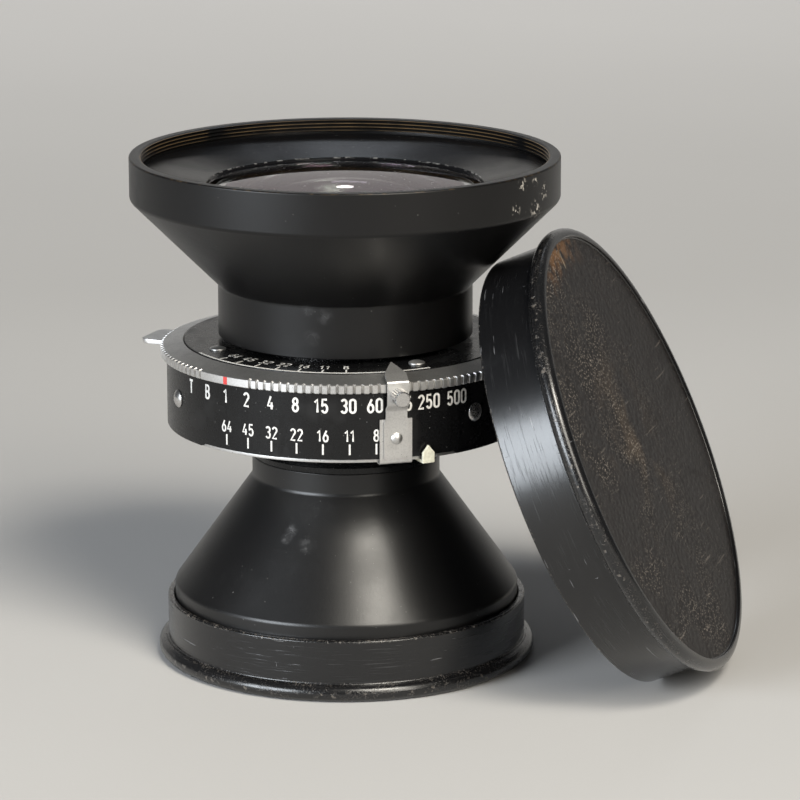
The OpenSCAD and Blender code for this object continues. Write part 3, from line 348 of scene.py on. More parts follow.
def worn_wall(plastic, wall_r, height):
    """A cap's wall and bead: rubs, scuffs, scratches and nicks, a worn lip, and dirt over the bead."""
    z, r = plastic.coordinate("Z"), plastic.radius()
    wall = plastic.unrolled(wall_r)
    handled = plastic.patches(0.42, 0.62, 0.11, 4)
    rubs = plastic.patches(0.6, 0.72, 1.7, 2, (0.05, 1.5, 1), wall) * handled
    scuffs = plastic.patches(0.55, 0.75, 1.5, 2, (0.1, 2.2, 1), wall, 58)
    nicks = plastic.patches(0.7, 0.73, 0.9, 2, (0.14, 1.8, 1), wall, 38)
    slashes = plastic.patches(0.73, 0.76, 1.1, 3, (1.2, 0.3, 1), wall, 28)
    scratches = nicks + slashes
    lip = plastic.rise(z, height - 0.45, height - 0.15)
    over_bead = z - 2 * bead_r
    groove = plastic.rise(over_bead, -0.4, 0) * (1 - plastic.rise(over_bead, 0.1, 0.4))
    bead_side = plastic.rise(r, wall_r + 0.9, wall_r + 1.3)
    worn = plastic.patches(0.44, 0.62, 0.5, 3)
    grit = plastic.patches(0.5, 0.66, 3.4, 4)
    dirt = grit * (0.2 + 0.8 * worn) * (0.8 * lip + 0.8 * groove + 0.25 * bead_side)
    crest = plastic.ringed(wall_r + bead_out, bead_r, 0.8) + lip
    nicked = crest * plastic.patches(0.6, 0.66, 1.3, 4)
    marred = 0.05 * rubs + 0.02 * scuffs + 0.3 * scratches
    rubbed = plastic.mixed(marred, (0.005, 0.005, 0.0055), (0.3, 0.3, 0.31))
    colour = plastic.mixed(0.4 * dirt + 0.3 * nicked, rubbed, (0.32, 0.28, 0.24))
    roughness = 0.25 + 0.1 * rubs + 0.1 * scuffs * handled + 0.3 * dirt
    relief = 0.18 * scuffs - 0.25 * scratches - 0.08 * rubs - 0.6 * dirt - 0.8 * nicked
    return colour, roughness, relief, dirt


def grained_face(plastic, wall_r):
    """A cap's face: pebble grain, dust, smears and streaks, with a rusty stain and a spot of old paint."""
    squeezed = plastic.node("Mapping", {}, {"Vector": plastic.point, "Scale": (1, 0.6, 1)})
    sockets = {"Vector": squeezed, "Scale": 1.3}
    pebbles = plastic.node("TexVoronoi", {"feature": "SMOOTH_F1"}, sockets, "Distance")
    near_side = 1 - plastic.rise(plastic.coordinate("Y"), -12, 22)
    dusty = plastic.patches(0.4, 0.62, 0.08, 5) * (0.15 + 0.85 * near_side)
    dust = (plastic.flecks(0.8, 0.2, 0.3) + plastic.flecks(2.1, 0.4, 0.8)) * (0.08 + 0.92 * dusty)
    smears = plastic.near((2, -4, face_recess), 20) * plastic.patches(0.46, 0.66, 0.1, 4)
    streaks = plastic.patches(0.7, 0.74, 0.5, 2, (2.8, 0.16, 1), None, 8)
    strokes = plastic.patches(0.7, 0.74, 0.45, 2, (3.0, 0.25, 1), None, -42)
    marks = streaks + strokes
    by_edge = plastic.rise(plastic.radius(), wall_r - 6, wall_r - 1)
    rusty = plastic.near((32, -3, face_recess), 15) * by_edge
    stain = rusty * plastic.patches(0.4, 0.6, 0.5, 5)
    flakes = plastic.patches(0.55, 0.6, 0.5, 4, (0.4, 1, 1))
    paint = plastic.near((31, -1, face_recess), 5) * flakes
    grained = plastic.mixed(0.35 * smears, (0.0085, 0.0068, 0.0066), (0.11, 0.078, 0.05))
    stained = plastic.mixed(0.8 * stain, grained, (0.17, 0.078, 0.024))
    painted = plastic.mixed(0.6 * paint, stained, (0.42, 0.36, 0.26))
    colour = plastic.mixed(0.5 * dust + 0.15 * marks, painted, (0.42, 0.37, 0.32))
    roughness = 0.22 + 0.1 * dusty
    relief = 1.2 * pebbles + 0.25 * marks
    return colour, roughness, relief


def worn_plastic(name, wall_r, height, place=(0, 0, 0), turn=(0, 0, 0)):
    """Glossy black cap plastic, scuffed on its wall, and grained and dusty on its face."""
    plastic = Finish(name, place, turn)
    wall_colour, wall_roughness, wall_relief, dirt = worn_wall(plastic, wall_r, height)
    face_colour, face_roughness, face_relief = grained_face(plastic, wall_r)
    low = 1 - plastic.rise(plastic.coordinate("Z"), face_recess + 0.02, face_recess + 0.15)
    face = low * (1 - plastic.rise(plastic.radius(), wall_r - 0.5, wall_r - 0.2))
    plastic.shade(
        Base_Color=plastic.mixed(face, wall_colour, face_colour),
        Roughness=wall_roughness + face * face_roughness,
        Normal=plastic.bumped(wall_relief - face * face_relief, 0.09),
        Coat_Weight=(1 - face) * (0.45 - 0.4 * dirt),
        Coat_Roughness=0.2,
        Specular_IOR_Level=0.4,
    )
    return plastic


cap_play = 0.1
cap_wall = 1.1
cap_face = 1.8
bead_r = 1.4
bead_out = 1.6
bead_end = 80
corner_out, corner_down, corner_round = 0.12, 0.1, 0.08
lip_round, bore_round = 0.3, 0.4
face_rim = 1.8
face_recess = 0.6
hollow_round, hollow_edge = 0.2, 0.15
rear_rim_r = span("rear_barrel")[1].x
rear_cap_h = span("rear_cap")[1].z
rear_plastic = worn_plastic("rear_cap_plastic", rear_rim_r + cap_play + cap_wall, rear_cap_h)
rear_shell = turned(cap_profile(rear_rim_r, rear_cap_h))
piece(rear_shell, "rear_cap_shell", "rear_cap", rear_plastic, "black_plastic", "rear_cap")


# The rear barrel is one turned aluminium piece: a rim that the cap covers, a cone and a neck that
# screws into the shutter. It is satin black anodised, with dust and scuffs on the cone.
def anodised(name, gloss=0.4, roughness=0.2, smudges=(), chips=(), crest_r=0.0, crest_z=0.0, edge=(0, 0)):
    """Satin black anodising: grain, turning lines and dust, with smudges and chips at places, painted bronze
    glints on thread crests, and a painted highlight with wear specks along an edge.
    """
    black = Finish(name)
    grain = black.noise(4.4, 2)
    lines = black.noise(5, 2, (1, 1, 1), black.profile())
    clouds = black.noise(0.08, 4)
    specks = black.flecks(0.8, 0.1, 0.5) * black.rise(clouds, 0.42, 0.62)
    haze = black.rise(clouds, 0.48, 0.75)
    colour = black.mixed(0.3 * specks, (0.0042, 0.004, 0.0041), (0.36, 0.35, 0.34))
    depth = 0.6 * grain + 0.4 * lines
    metal = 0.0
    scuffed = black.patches(0.45, 0.7, 0.8, 4) + black.hairlines(black.noise(0.42, 3), 0.012)
    for place, reach, strength in smudges:
        rub = strength * black.near(place, reach) * (0.25 + scuffed)
        colour = black.mixed(rub, colour, (0.36, 0.36, 0.37))
    flaked = black.patches(0.56, 0.59, 1.5, 4)
    for place, reach in chips:
        chip = flaked * black.near(place, reach)
        colour = black.mixed(0.85 * chip, colour, (0.55, 0.52, 0.47))
        depth = depth - 4 * chip
    # Painted glints: the thread's crests are coloured bronze and made metallic as a painted reflection along
    # the thread.
    if crest_r:
        inside = 1 - black.rise(black.radius(), crest_r + 0.03, crest_r + 0.14)
        above = black.rise(black.coordinate("Z"), crest_z, crest_z + 0.1)
        crest_glints = inside * above * black.patches(0.35, 0.6, 0.12, 4)
        # Painted highlight: a light line along the circle at the rim's top edge, broken into specks of wear.
        edge_wear_and_highlight = black.ringed(*edge, 0.3) * black.patches(0.5, 0.65, 0.9, 4)
        colour = black.mixed(0.8 * crest_glints + 0.25 * edge_wear_and_highlight, colour, (0.3, 0.2, 0.1))
        metal = 0.7 * crest_glints
    black.shade(
        Base_Color=colour,
        Metallic=metal,
        Roughness=roughness + 0.12 * grain + 0.03 * lines + 0.06 * haze + 0.2 * specks,
        Normal=black.bumped(depth, 0.008),
        Specular_IOR_Level=gloss,
    )
    return black


rear_low, rear_high = span("rear_barrel")
rear_cone_low = rear_low.z + 10.2
rear_neck_low = rear_cone_low + 18.1
rear_neck_r = 15.45
rear_tube_low = span("shutter_case")[0].z
spigot_r = 14.7
glass_bore_r = 23.95
glass_seat_r = 21.15
boss_h = 2.0
rear_seat = span("rear_lens")[1].z - boss_h
pair_bore_r = 12.9
pair_lip_r = 12.0
pair_lip_low = rear_seat + boss_h + 12.2
pair_lip_high = pair_lip_low + 0.9
rear_smudges = (
    ((-9.6, -17.6, 23.6), 1.3, 0.2),
    ((-8.8, -17.1, 24.8), 1.4, 0.15),
    ((-6.3, -19.5, 23.0), 2.0, 0.08),
    ((-4.6, -16.2, 28.2), 4.0, 0.025),
)
rear_black = anodised("rear_barrel_black", 0.5, 0.27, rear_smudges)
piece(
    turned([
        (glass_bore_r, rear_low.z), (rear_rim_r, rear_low.z, 0.3), (rear_rim_r, rear_cone_low, 0.35),
        (rear_neck_r, rear_neck_low, 0.35), (rear_neck_r, rear_tube_low, 0.15), (spigot_r, rear_tube_low),
        (spigot_r, rear_high.z), (pair_bore_r, rear_high.z), (pair_bore_r, pair_lip_high),
        (pair_lip_r, pair_lip_high), (pair_lip_r, pair_lip_low), (glass_seat_r, rear_seat + boss_h),
        (glass_seat_r, rear_seat), (glass_bore_r, rear_seat),
    ]),
    "rear_barrel_shell", "lens", rear_black, "black_anodised", "rear_barrel",
)


# Each half of the lens has a big outer element, crowned outside and deeply hollow inside, and a
# cemented pair beside the shutter. All are coated, and black rings hold them in their bores.
def dome(apex, crown, crown_r, edge_r, steps=14):
    """Points of a ball's surface from the axis out to an edge; it sinks by the crown at crown_r."""
    ball_r = (crown_r ** 2 + crown ** 2) / (2 * crown)
    radii = [edge_r * i / steps for i in range(steps + 1)]
    return [(r, apex - ball_r + math.sqrt(ball_r ** 2 - r ** 2)) for r in radii]


def coated(name, tint):
    """Clear optical glass with a coloured coating and a little dust on it."""
    glass = Finish(name)
    dust = glass.patches(0.69, 0.72, 1.7, 3)
    glass.shade(
        Base_Color=glass.mixed(0.5 * dust, (0.96, 0.97, 0.96), (0.7, 0.7, 0.68)),
        Roughness=0.03 + 0.25 * dust,
        IOR=1.62,
        Transmission_Weight=1.0,
        Specular_Tint=(*tint, 1),
    )
    return glass


def flipped(outline, about):
    """An outline turned upside down about a height."""
    return [(r, 2 * about - z) for r, z in outline]


outer_glass = coated("outer_coating", (0.95, 0.42, 0.72))
inner_glass = coated("inner_coating", (0.55, 0.6, 0.95))
front_seat = span("front_lens")[0].z + boss_h
outer_edge = 5.4
crown_rim = 1.4
boss_step, boss_rim = 2.9, 1.5
hollow_top, hollow_deep = 4.6, 6.6
for name, seat, crown, facing in (("front_lens", front_seat, 1.5, 1), ("rear_lens", rear_seat, 2.1, -1)):
    body_r = span(name)[1].x
    boss_r = body_r - boss_step
    hollow_r = boss_r - boss_rim
    outline = [
        *dome(seat + outer_edge + crown, crown, body_r - crown_rim, body_r), (body_r, seat), (boss_r, seat),
        (boss_r, seat - boss_h), *reversed(dome(seat + hollow_top, hollow_deep, hollow_r, hollow_r)),
    ]
    piece(
        turned(outline if facing > 0 else flipped(outline, seat)), name + "_element", "lens",
        outer_glass, "coated_glass", name,
    )
pair_r = span("front_doublet_outer")[1].x
pair_edge, pair_rim = 3.8, 0.9
pair_crown, cement_crown, pair_hollow = 1.6, 2.0, 1.2
front_cement = span("front_doublet_inner")[0].z + pair_edge
rear_cement = span("rear_doublet_inner")[1].z - pair_edge
for end, cement, facing in (("front", front_cement, 1), ("rear", rear_cement, -1)):
    rim_r = pair_r - pair_rim
    joint = dome(cement + cement_crown, cement_crown, pair_r, pair_r)
    outer = [*dome(cement + pair_edge + pair_crown, pair_crown, rim_r, pair_r), *reversed(joint)]
    hollow = dome(cement - pair_edge + pair_hollow, pair_hollow, rim_r, rim_r)
    inner = [*joint, (pair_r, cement - pair_edge), *reversed(hollow)]
    for half, outline in (("outer", outer), ("inner", inner)):
        piece(
            turned(outline if facing > 0 else flipped(outline, cement), 128), f"{end}_pair_{half}", "lens",
            inner_glass, "coated_glass", f"{end}_doublet_{half}",
        )


def dress(finish, *nodes):
    """Gives CAD nodes that stay in the picture their finish."""
    for node in nodes:
        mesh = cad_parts[node].data
        mesh.materials.clear()
        mesh.materials.append(finish.material)


dress(anodised("retaining_ring_black"), "rear_lens_ring", "rear_doublet_ring", "front_doublet_ring")


# The shutter's case is a turned drum in semi-gloss black enamel. Its rear tube carries the thread
# for the lens board, its lower edge is cut away under the stops, and three windows let levers out.
def enamel(name, peel_depth):
    """Semi-gloss black enamel: faint orange peel, fine dust and a few rubbed spots."""
    paint = Finish(name)
    peel = paint.noise(1.6, 2)
    dust = paint.dots(0.9, 0.09)
    rubbed = paint.patches(0.55, 0.75, 0.2, 5)
    paint.shade(
        Base_Color=paint.mixed(0.3 * dust + 0.015 * rubbed, (0.0045, 0.0045, 0.0048), (0.4, 0.39, 0.38)),
        Roughness=0.25 + 0.1 * rubbed + 0.04 * peel,
        Normal=paint.bumped(peel, peel_depth),
        Specular_IOR_Level=0.32,
    )
    return paint


def thread(r, low, high, pitch, depth):
    """A screw thread's outline from low to high: ridges at r, with hollows depth away from it."""
    turns = round((high - low) / pitch)
    return [(r + depth * (i % 2), low + i * pitch / 2) for i in range(2 * turns + 1)]


def around(vert):
    """A vertex's angle around the axis, counted from the front in degrees."""
    return math.degrees(math.atan2(vert.co.x, -vert.co.y))


def window(made, low, high, start, end):
    """Opens a window in the drum's wall between two heights and two angles, and lines its edges."""
    middle = (start + end) / 2
    gone = [
        face for face in made.faces
        if low < face.calc_center_median().z < high and face.calc_center_median().xy.length > wall_in_r - 0.1
        and all(abs((around(v) - middle + 180) % 360 - 180) < (end - start) / 2 + 0.01 for v in face.verts)
    ]
    edges = {edge for face in gone for edge in face.edges}
    bmesh.ops.delete(made, geom=gone, context="FACES_ONLY")
    rim = [edge for edge in edges if edge.is_valid and len(edge.link_faces) == 1]
    loose = [edge for edge in edges if edge.is_valid and not edge.link_faces]
    bmesh.ops.delete(made, geom=loose, context="EDGES")
    bmesh.ops.bridge_loops(made, edges=rim)


case_low, case_high = span("shutter_case")
case_r = 29.3
wall_in_r = 28.5
blade_bore_r = 28.1
iris_bore_r = 27.4
bore_r = 14.75
tube_r = 16.25
board_relief_r = 15.4
board_low = case_low.z + 1.2
board_pitch, board_depth = 0.5, 0.28
board_seat_r = 20.5
board_seat = case_low.z + 4.6
floor_low = span("iris_ring")[1].z + 0.08
drum_low = floor_low - 0.5
drum_high = case_high.z
rebate_r = 28.85
mechanism_seat = span("mechanism_plate")[0].z
partition_seat = span("partition_plate")[0].z
iris_floor = 40.38
tab_window = (49.36, 50.4)
sync_window = (46.36, 47.4)
made = turned([
    (bore_r, case_low.z), (board_relief_r, case_low.z, 0.1), (board_relief_r, board_low),
    *thread(tube_r, board_low, board_seat, board_pitch, -board_depth), (board_seat_r, board_seat, 0.1),
    (board_seat_r, floor_low), (rebate_r, floor_low), (rebate_r, drum_low), (case_r, drum_low, 0.12),
    *[(case_r, z) for z in sync_window + tab_window], (case_r, drum_high, 0.15), (wall_in_r, drum_high),
    *[(wall_in_r, z) for z in reversed(sync_window + tab_window)], (wall_in_r, mechanism_seat),
    (blade_bore_r, mechanism_seat), (blade_bore_r, partition_seat), (iris_bore_r, partition_seat),
    (iris_bore_r, iris_floor), (bore_r, iris_floor),
], 360)
gap_from, gap_to = -52, 36
lower_edge = [v for v in made.verts if v.co.z < drum_low + 0.2 and v.co.xy.length > rebate_r - 0.1]
skirt = [vert for vert in lower_edge if gap_from < around(vert) < gap_to]
for vert in skirt:
    vert.co.z = floor_low
bmesh.ops.remove_doubles(made, verts=skirt, dist=0.2)
window(made, *tab_window, -158, -105)
window(made, *tab_window, 122, 135)
window(made, *sync_window, 175, 199)
case_enamel = enamel("case_enamel", 0.006)
piece(made, "case_drum", "lens", case_enamel, "black_paint", "shutter_case")


# Both scales on the drum are printed in white: speeds above with T and B, stops and ticks below.
# Each figure is a thin layer of enamel that follows the drum's round wall.
def bow(u, v, wide, tall, start, end, steps=14):
    """Points of an oval arc between two angles, for a figure's round strokes."""
    turns = [math.radians(start + (end - start) * i / steps) for i in range(steps + 1)]
    return [(u + wide * math.cos(t), v + tall * math.sin(t)) for t in turns]


# each figure's strokes, in half widths across and heights up from its foot
figure_strokes = {
    "0": [bow(0, 0.8, 1, 0.2, 0, 180) + bow(0, 0.2, 1, 0.2, 180, 360) + [(1, 0.8)]],
    "1": [[(-0.75, 0.76), (0.25, 1), (0.25, 0)]],
    "2": [bow(0, 0.75, 1, 0.25, 165, -20) + [(-1, 0), (1.05, 0)]],
    "3": [bow(0, 0.765, 0.92, 0.235, 155, -90) + bow(0, 0.265, 1, 0.265, 90, -155)],
    "4": [[(0.2, 1), (-1.1, 0.26), (1.1, 0.26)], [(0.5, 0.55), (0.5, 0)]],
    "5": [[(0.9, 1), (-0.75, 1), (-0.85, 0.52)] + bow(0, 0.31, 1, 0.31, 140, -155)],
    "6": [bow(0, 0.3, 1, 0.3, 0, 360), [(-0.93, 0.42), (0.4, 1)]],
    "8": [bow(0, 0.77, 0.85, 0.23, 0, 360), bow(0, 0.27, 1, 0.27, 0, 360)],
    "T": [[(-1.1, 1), (1.1, 1)], [(0, 1), (0, 0)]],
    "B": [
        [(-0.9, 0), (-0.9, 1), (0.1, 1)] + bow(0.1, 0.765, 0.75, 0.235, 90, -90) + [(-0.9, 0.53)],
        [(0.1, 0.53)] + bow(0.1, 0.265, 0.9, 0.265, 90, -90) + [(-0.9, 0)],
    ],
}


def figure(text, height, weight):
    """Printed figures as one thin flat mesh, so tall, centred, with their face towards +Z."""
    curve = bpy.data.curves.new("figure", "CURVE")
    curve.dimensions = "3D"
    curve.bevel_depth = weight / 2
    curve.bevel_resolution = 1
    curve.use_fill_caps = True
    room_for = [(slim_room if sign == "1" else sign_room) * height for sign in text]
    place = -sum(room_for) / 2
    for sign, room in zip(text, room_for):
        for path in figure_strokes[sign]:
            line = curve.splines.new("POLY")
            line.points.add(len(path) - 1)
            for point, (u, v) in zip(line.points, path):
                point.co = (place + room / 2 + u * sign_half * height, (v - 0.5) * (height - weight), 0, 1)
        place += room
    drawn = bpy.data.objects.new("figure", curve)
    bpy.context.collection.objects.link(drawn)
    mesh = bpy.data.meshes.new_from_object(drawn.evaluated_get(bpy.context.evaluated_depsgraph_get()))
    bpy.data.objects.remove(drawn)
    made = bmesh.new()
    made.from_mesh(mesh)
    bpy.data.meshes.remove(mesh)
    bmesh.ops.scale(made, vec=(1, 1, print_t / weight), verts=made.verts)
    return made


def stroke(width, height):
    """A printed line as a thin flat block."""
    made = bmesh.new()
    bmesh.ops.create_cube(made, size=1, matrix=Matrix.Diagonal((width, height, print_t, 1)))
    return made


def wrapped(made, side, z, r):
    """Lays a flat print on a round wall, with its middle at an angle around it and at a height."""
    for vert in made.verts:
        turn = math.radians(side) + vert.co.x / r
        out = r + vert.co.z + print_t / 2
        vert.co = Vector((out * math.sin(turn), -out * math.cos(turn), z + vert.co.y))
    return made


def gathered(parts):
    """Joins several meshes into one."""
    whole = bmesh.new()
    for part in parts:
        mesh = bpy.data.meshes.new("part")
        part.to_mesh(mesh)
        part.free()
        whole.from_mesh(mesh)
        bpy.data.meshes.remove(mesh)
    return whole


def print_white(name, worn=(0.58, 0.56, 0.53), fresh=(0.74, 0.73, 0.7)):
    """White printing ink, a little uneven and yellowed."""
    ink = Finish(name)
    wear = ink.noise(2.2, 4)
    ink.shade(
        Base_Color=ink.mixed(ink.rise(wear, 0.3, 0.7), worn, fresh),
        Roughness=0.5 + 0.15 * wear,
    )
    return ink


print_t = 0.03
# shares of a figure's height: the room for a figure and for a slim one, and half a figure's width
sign_room, slim_room, sign_half = 0.56, 0.44, 0.17
speeds = (
    ("T", -57.5), ("B", -48.7), ("1", -40.6), ("2", -32.4), ("4", -23.9), ("8", -15.7), ("15", -7.6),
    ("30", 0.8), ("60", 9.0), ("125", 17.3), ("250", 26.6), ("500", 36.9),
)
speed_z, speed_h, speed_w = 48.43, 2.45, 0.36
stops = ("64", "45", "32", "22", "16", "11", "8")
stop_z, stop_h, stop_w = 43.57, 2.05, 0.28
stop_first, stop_pitch = -40.2, 8.27
tick_z, tick_h, tick_w = 41.38, 1.72, 0.28
prints = [wrapped(figure(text, speed_h, speed_w), side, speed_z, case_r) for text, side in speeds]
for number, text in enumerate(stops):
    side = stop_first + number * stop_pitch
    prints.append(wrapped(figure(text, stop_h, stop_w), side, stop_z, case_r))
    prints.append(wrapped(stroke(tick_w, tick_h), side, tick_z, case_r))
scale_ink = print_white("scale_ink")
piece(gathered(prints), "drum_print", "lens", scale_ink, "white_enamel")


# Three domed steel screws go through the drum's side and hold the mechanism plate.
# Their heads are turned, plain and polished bright.
def steel(name, colour, roughness):
    """Bare or plated metal: fine satin grain, turning lines, faint clouds and small dark specks."""
    metal = Finish(name)
    grain = metal.noise(4, 3)
    lines = metal.noise(7, 2, (1, 1, 1), metal.profile())
    clouds = metal.noise(0.4, 4)
    specks = metal.dots(0.8, 0.09)
    duller = tuple(0.8 * part for part in colour)
    clouded = 0.6 * metal.rise(clouds, 0.35, 0.75) + 0.6 * metal.rise(grain, 0.4, 0.7)
    toned = metal.mixed(clouded, colour, duller)
    metal.shade(
        Base_Color=metal.mixed(0.7 * specks, toned, (0.12, 0.1, 0.09)),
        Metallic=1 - 0.6 * specks,
        Roughness=roughness + 0.1 * grain + 0.06 * clouds,
        Normal=metal.bumped(0.75 * grain + 0.25 * lines, 0.01),
    )
    return metal


def outward(made, side, r, z):
    """Turns a piece made on the upright axis so that it points out of the drum at an angle."""
    place = Matrix.Rotation(math.radians(side - 90), 4, "Z") @ Matrix.Translation((r, 0, z))
    bmesh.ops.transform(made, matrix=place @ Matrix.Rotation(math.radians(90), 4, "Y"), verts=made.verts)
    return made


def domed(shank_r, shank_l, head_r, rim_h, rounds, crown):
    """A domed head on a short shank, pointing up, with its foot and rim rounded under the crown's points."""
    return turned([
        (0, -shank_l), (shank_r, -shank_l), (shank_r, 0), (head_r, 0, rounds[0]), (head_r, rim_h, rounds[1]),
        *reversed(crown),
    ], 48)


bright_steel = steel("bright_steel", (0.62, 0.61, 0.6), 0.2)
screw_sides = (-67, 44.5, 171)
screw_z = 45.4
screw_crown = dome(apex=0.7, crown=0.55, crown_r=1.45, edge_r=1.4, steps=8)
heads = []
for side in screw_sides:
    head = domed(shank_r=0.6, shank_l=2.2, head_r=1.5, rim_h=0.12, rounds=(0.1, 0.1), crown=screw_crown)
    heads.append(outward(head, side, case_r, screw_z))
piece(gathered(heads), "drum_screws", "lens", bright_steel, "bright_steel", "case_screws")


# The control ring is a flat satin-chromed ring that turns in a rebate under the drum, where its edge
# shows as a bright line. A pin carries its turn up to the brass cam ring that swings five leaves.
satin_chrome = steel("satin_chrome", (0.66, 0.65, 0.635), 0.36)
control_low, control_high = span("iris_ring")
control_r = control_high.x
control_bore = board_seat_r + 0.05
piece(
    turned([
        (control_bore, control_low.z), (control_r, control_low.z, 0.1), (control_r, control_high.z, 0.1),
        (control_bore, control_high.z),
    ]),
    "control_ring", "aperture_control", satin_chrome, "satin_chrome", "iris_ring",
)
brass = steel("brass", (0.62, 0.45, 0.2), 0.28)
blued_steel = steel("blued_steel", (0.055, 0.06, 0.075), 0.32)
dress(brass, "iris_cam_ring")
dress(bright_steel, "iris_control_pin", "iris_pivots")
dress(blued_steel, *[f"iris_leaf_{number}" for number in range(1, 6)])


# Above the iris lie the partition plate, five blued shutter blades with the brass ring that drives
# them, and the mechanism plate. Its front tube takes the front cell, with the main spring around it.
dress(blued_steel, *[f"shutter_blade_{number}" for number in range(1, 6)])
dress(case_enamel, "partition_plate")
dress(brass, "blade_ring", "speed_cam")
dress(bright_steel, "blade_drive_pin", "blade_pivots", "main_spring", "release_spring", "release_post")
dress(satin_chrome, "mechanism_plate")


# The cocking lever, the release lever and the flash selector are stamped from chromed sheet. Their
# tabs come out through the drum's windows, with edges that are broken and tumbled smooth.
def eased(node, width):
    """A copy of a CAD node, merged into plain faces, with its sharp edges rounded."""
    made = bmesh.new()
    made.from_mesh(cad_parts[node].data)
    bmesh.ops.scale(made, vec=(1 / MM, 1 / MM, 1 / MM), verts=made.verts)
    bmesh.ops.remove_doubles(made, verts=made.verts, dist=1e-3)
    bmesh.ops.dissolve_limit(
        made, angle_limit=math.radians(1), verts=made.verts, edges=made.edges, delimit=set(),
    )
    sharp = [e for e in made.edges if len(e.link_faces) == 2 and e.calc_face_angle() > math.radians(40)]
    bmesh.ops.bevel(made, geom=sharp, offset=width, segments=2, profile=0.5, affect="EDGES", material=-1)
    return made


for node in ("cocking_lever", "release_lever", "sync_selector"):
    piece(eased(node, 0.12), node + "_plate", node, satin_chrome, "satin_chrome", node)


# Two turned and chromed sockets stand out of the far side of the drum: one for a cable release, and
# one for a flash lead, with a brass contact in its middle.
socket_z = 44.855
collar_h, mouth_h, slope, waist_in = 0.6, 0.75, 0.15, 0.25
sockets = (("cable_socket", 152, 2.4, 1.3, 5.0), ("flash_socket", -158, 2.5, 1.75, 3.0))
for node, side, outer_r, inner_r, length in sockets:
    waist_r = outer_r - waist_in
    mouth_low = length - mouth_h
    made = turned([
        (inner_r, -collar_h), (outer_r, -collar_h), (outer_r, collar_h, 0.1),
        (waist_r, collar_h + slope, 0.1), (waist_r, mouth_low - slope, 0.1),
        (outer_r, mouth_low, 0.1), (outer_r, length, 0.2), (inner_r, length, 0.2),
    ], 64)
    piece(outward(made, side, case_r, socket_z), node + "_tube", "lens", satin_chrome, "satin_chrome", node)
dress(brass, "flash_contact")


# The aperture lever is bent from chromed sheet: a tab of the control ring comes up outside the drum,
# and the lever riveted to it clears the speed ring and ends in a tip that points at the upper scale.
def sheet(path, thickness, bend):
    """A strip of sheet metal through stations of (out, up, width), bent round between them."""
    made = bmesh.new()
    out, up, width = path[0]
    edge = made.edges.new([made.verts.new((out, flank * width / 2, up)) for flank in (-1, 1)])
    bends = []
    for number, (out, up, width) in enumerate(path[1:], 1):
        grown = bmesh.ops.extrude_edge_only(made, edges=[edge])["geom"]
        edge = next(part for part in grown if isinstance(part, bmesh.types.BMEdge))
        for vert in edge.verts:
            vert.co = (out, math.copysign(width / 2, vert.co.y), up)
        if number < len(path) - 1:
            bends.append(edge)
    bmesh.ops.bevel(made, geom=bends, offset=bend, segments=4, profile=0.5, affect="EDGES", material=-1)
    bmesh.ops.remove_doubles(made, verts=made.verts, dist=1e-3)
    bmesh.ops.recalc_face_normals(made, faces=made.faces)
    bmesh.ops.solidify(made, geom=made.faces[:], thickness=thickness)
    bmesh.ops.recalc_face_normals(made, faces=made.faces)
    return made


def swung(made, angle):
    """Turns a piece by an angle around the axis."""
    bmesh.ops.rotate(made, matrix=Matrix.Rotation(math.radians(angle), 3, "Z"), verts=made.verts)
    return made


lever_side = 15.4
tab_t, tab_bend, plate_t, plate_bend = 0.2, 0.45, 0.3, 0.25
root_r, tab_r, plate_r, top_r, knee_r, tip_r = 24.4, 29.7, 30.05, 31.0, 29.2, 26.9
tab_w, plate_w, top_w, tip_w = 5.3, 4.1, 3.5, 0.2
foot_z, lever_low, tab_top = 38.85, 39.9, 46.2
shoulder_low, shoulder_high = tab_top - 0.7, tab_top + 0.2
crank_low, crank_high = 47.7, 48.6
top_z, knee_z, tip_z = 52.45, 53.5, 54.75
ring_tab = sheet([(root_r, foot_z, tab_w), (tab_r, foot_z, tab_w), (tab_r, tab_top, tab_w)], tab_t, tab_bend)
lever_plate = sheet([
    (plate_r, lever_low, plate_w), (plate_r, shoulder_low, plate_w), (plate_r, shoulder_high, top_w),
    (plate_r, crank_low, top_w), (top_r, crank_high, top_w), (top_r, top_z, top_w), (knee_r, knee_z, top_w),
    (tip_r, tip_z, tip_w),
], plate_t, plate_bend)
lever_sheet = swung(gathered([ring_tab, lever_plate]), lever_side - 90)
piece(lever_sheet, "lever_sheet", "aperture_control", satin_chrome, "satin_chrome", "aperture_lever")

knob_r, knob_body, knob_z = 1.35, 2.35, 50.16
knurls, knurl_depth = 20, 0.1
knob_shoulder, knob_chamfer = 0.18, 0.22
made = bmesh.new()
foot = bmesh.ops.create_circle(made, cap_ends=True, segments=2 * knurls, radius=knob_r)["verts"]
made.verts.ensure_lookup_table()
for number, vert in enumerate(foot):
    vert.co *= 1 - knurl_depth * (number % 2)
grown = bmesh.ops.extrude_face_region(made, geom=made.faces[:])["geom"]
face = next(part for part in grown if isinstance(part, bmesh.types.BMFace))
bmesh.ops.translate(made, vec=(0, 0, knob_body), verts=face.verts)
bmesh.ops.inset_region(made, faces=[face], thickness=knob_shoulder, depth=0.0)
bmesh.ops.translate(made, vec=(0, 0, knob_chamfer), verts=face.verts)
bmesh.ops.recalc_face_normals(made, faces=made.faces)
outward(made, lever_side, top_r, knob_z)
piece(made, "lever_knob", "aperture_control", bright_steel, "bright_steel", "aperture_knob")

rivet_z = 43.13
rivet_crown = dome(apex=0.5, crown=0.4, crown_r=0.9, edge_r=0.9, steps=8)
made = domed(shank_r=0.4, shank_l=0.5, head_r=0.95, rim_h=0.1, rounds=(0.06, 0.06), crown=rivet_crown)
outward(made, lever_side, plate_r + 0.05, rivet_z)
piece(made, "lever_rivet", "aperture_control", satin_chrome, "satin_chrome", "aperture_rivet")

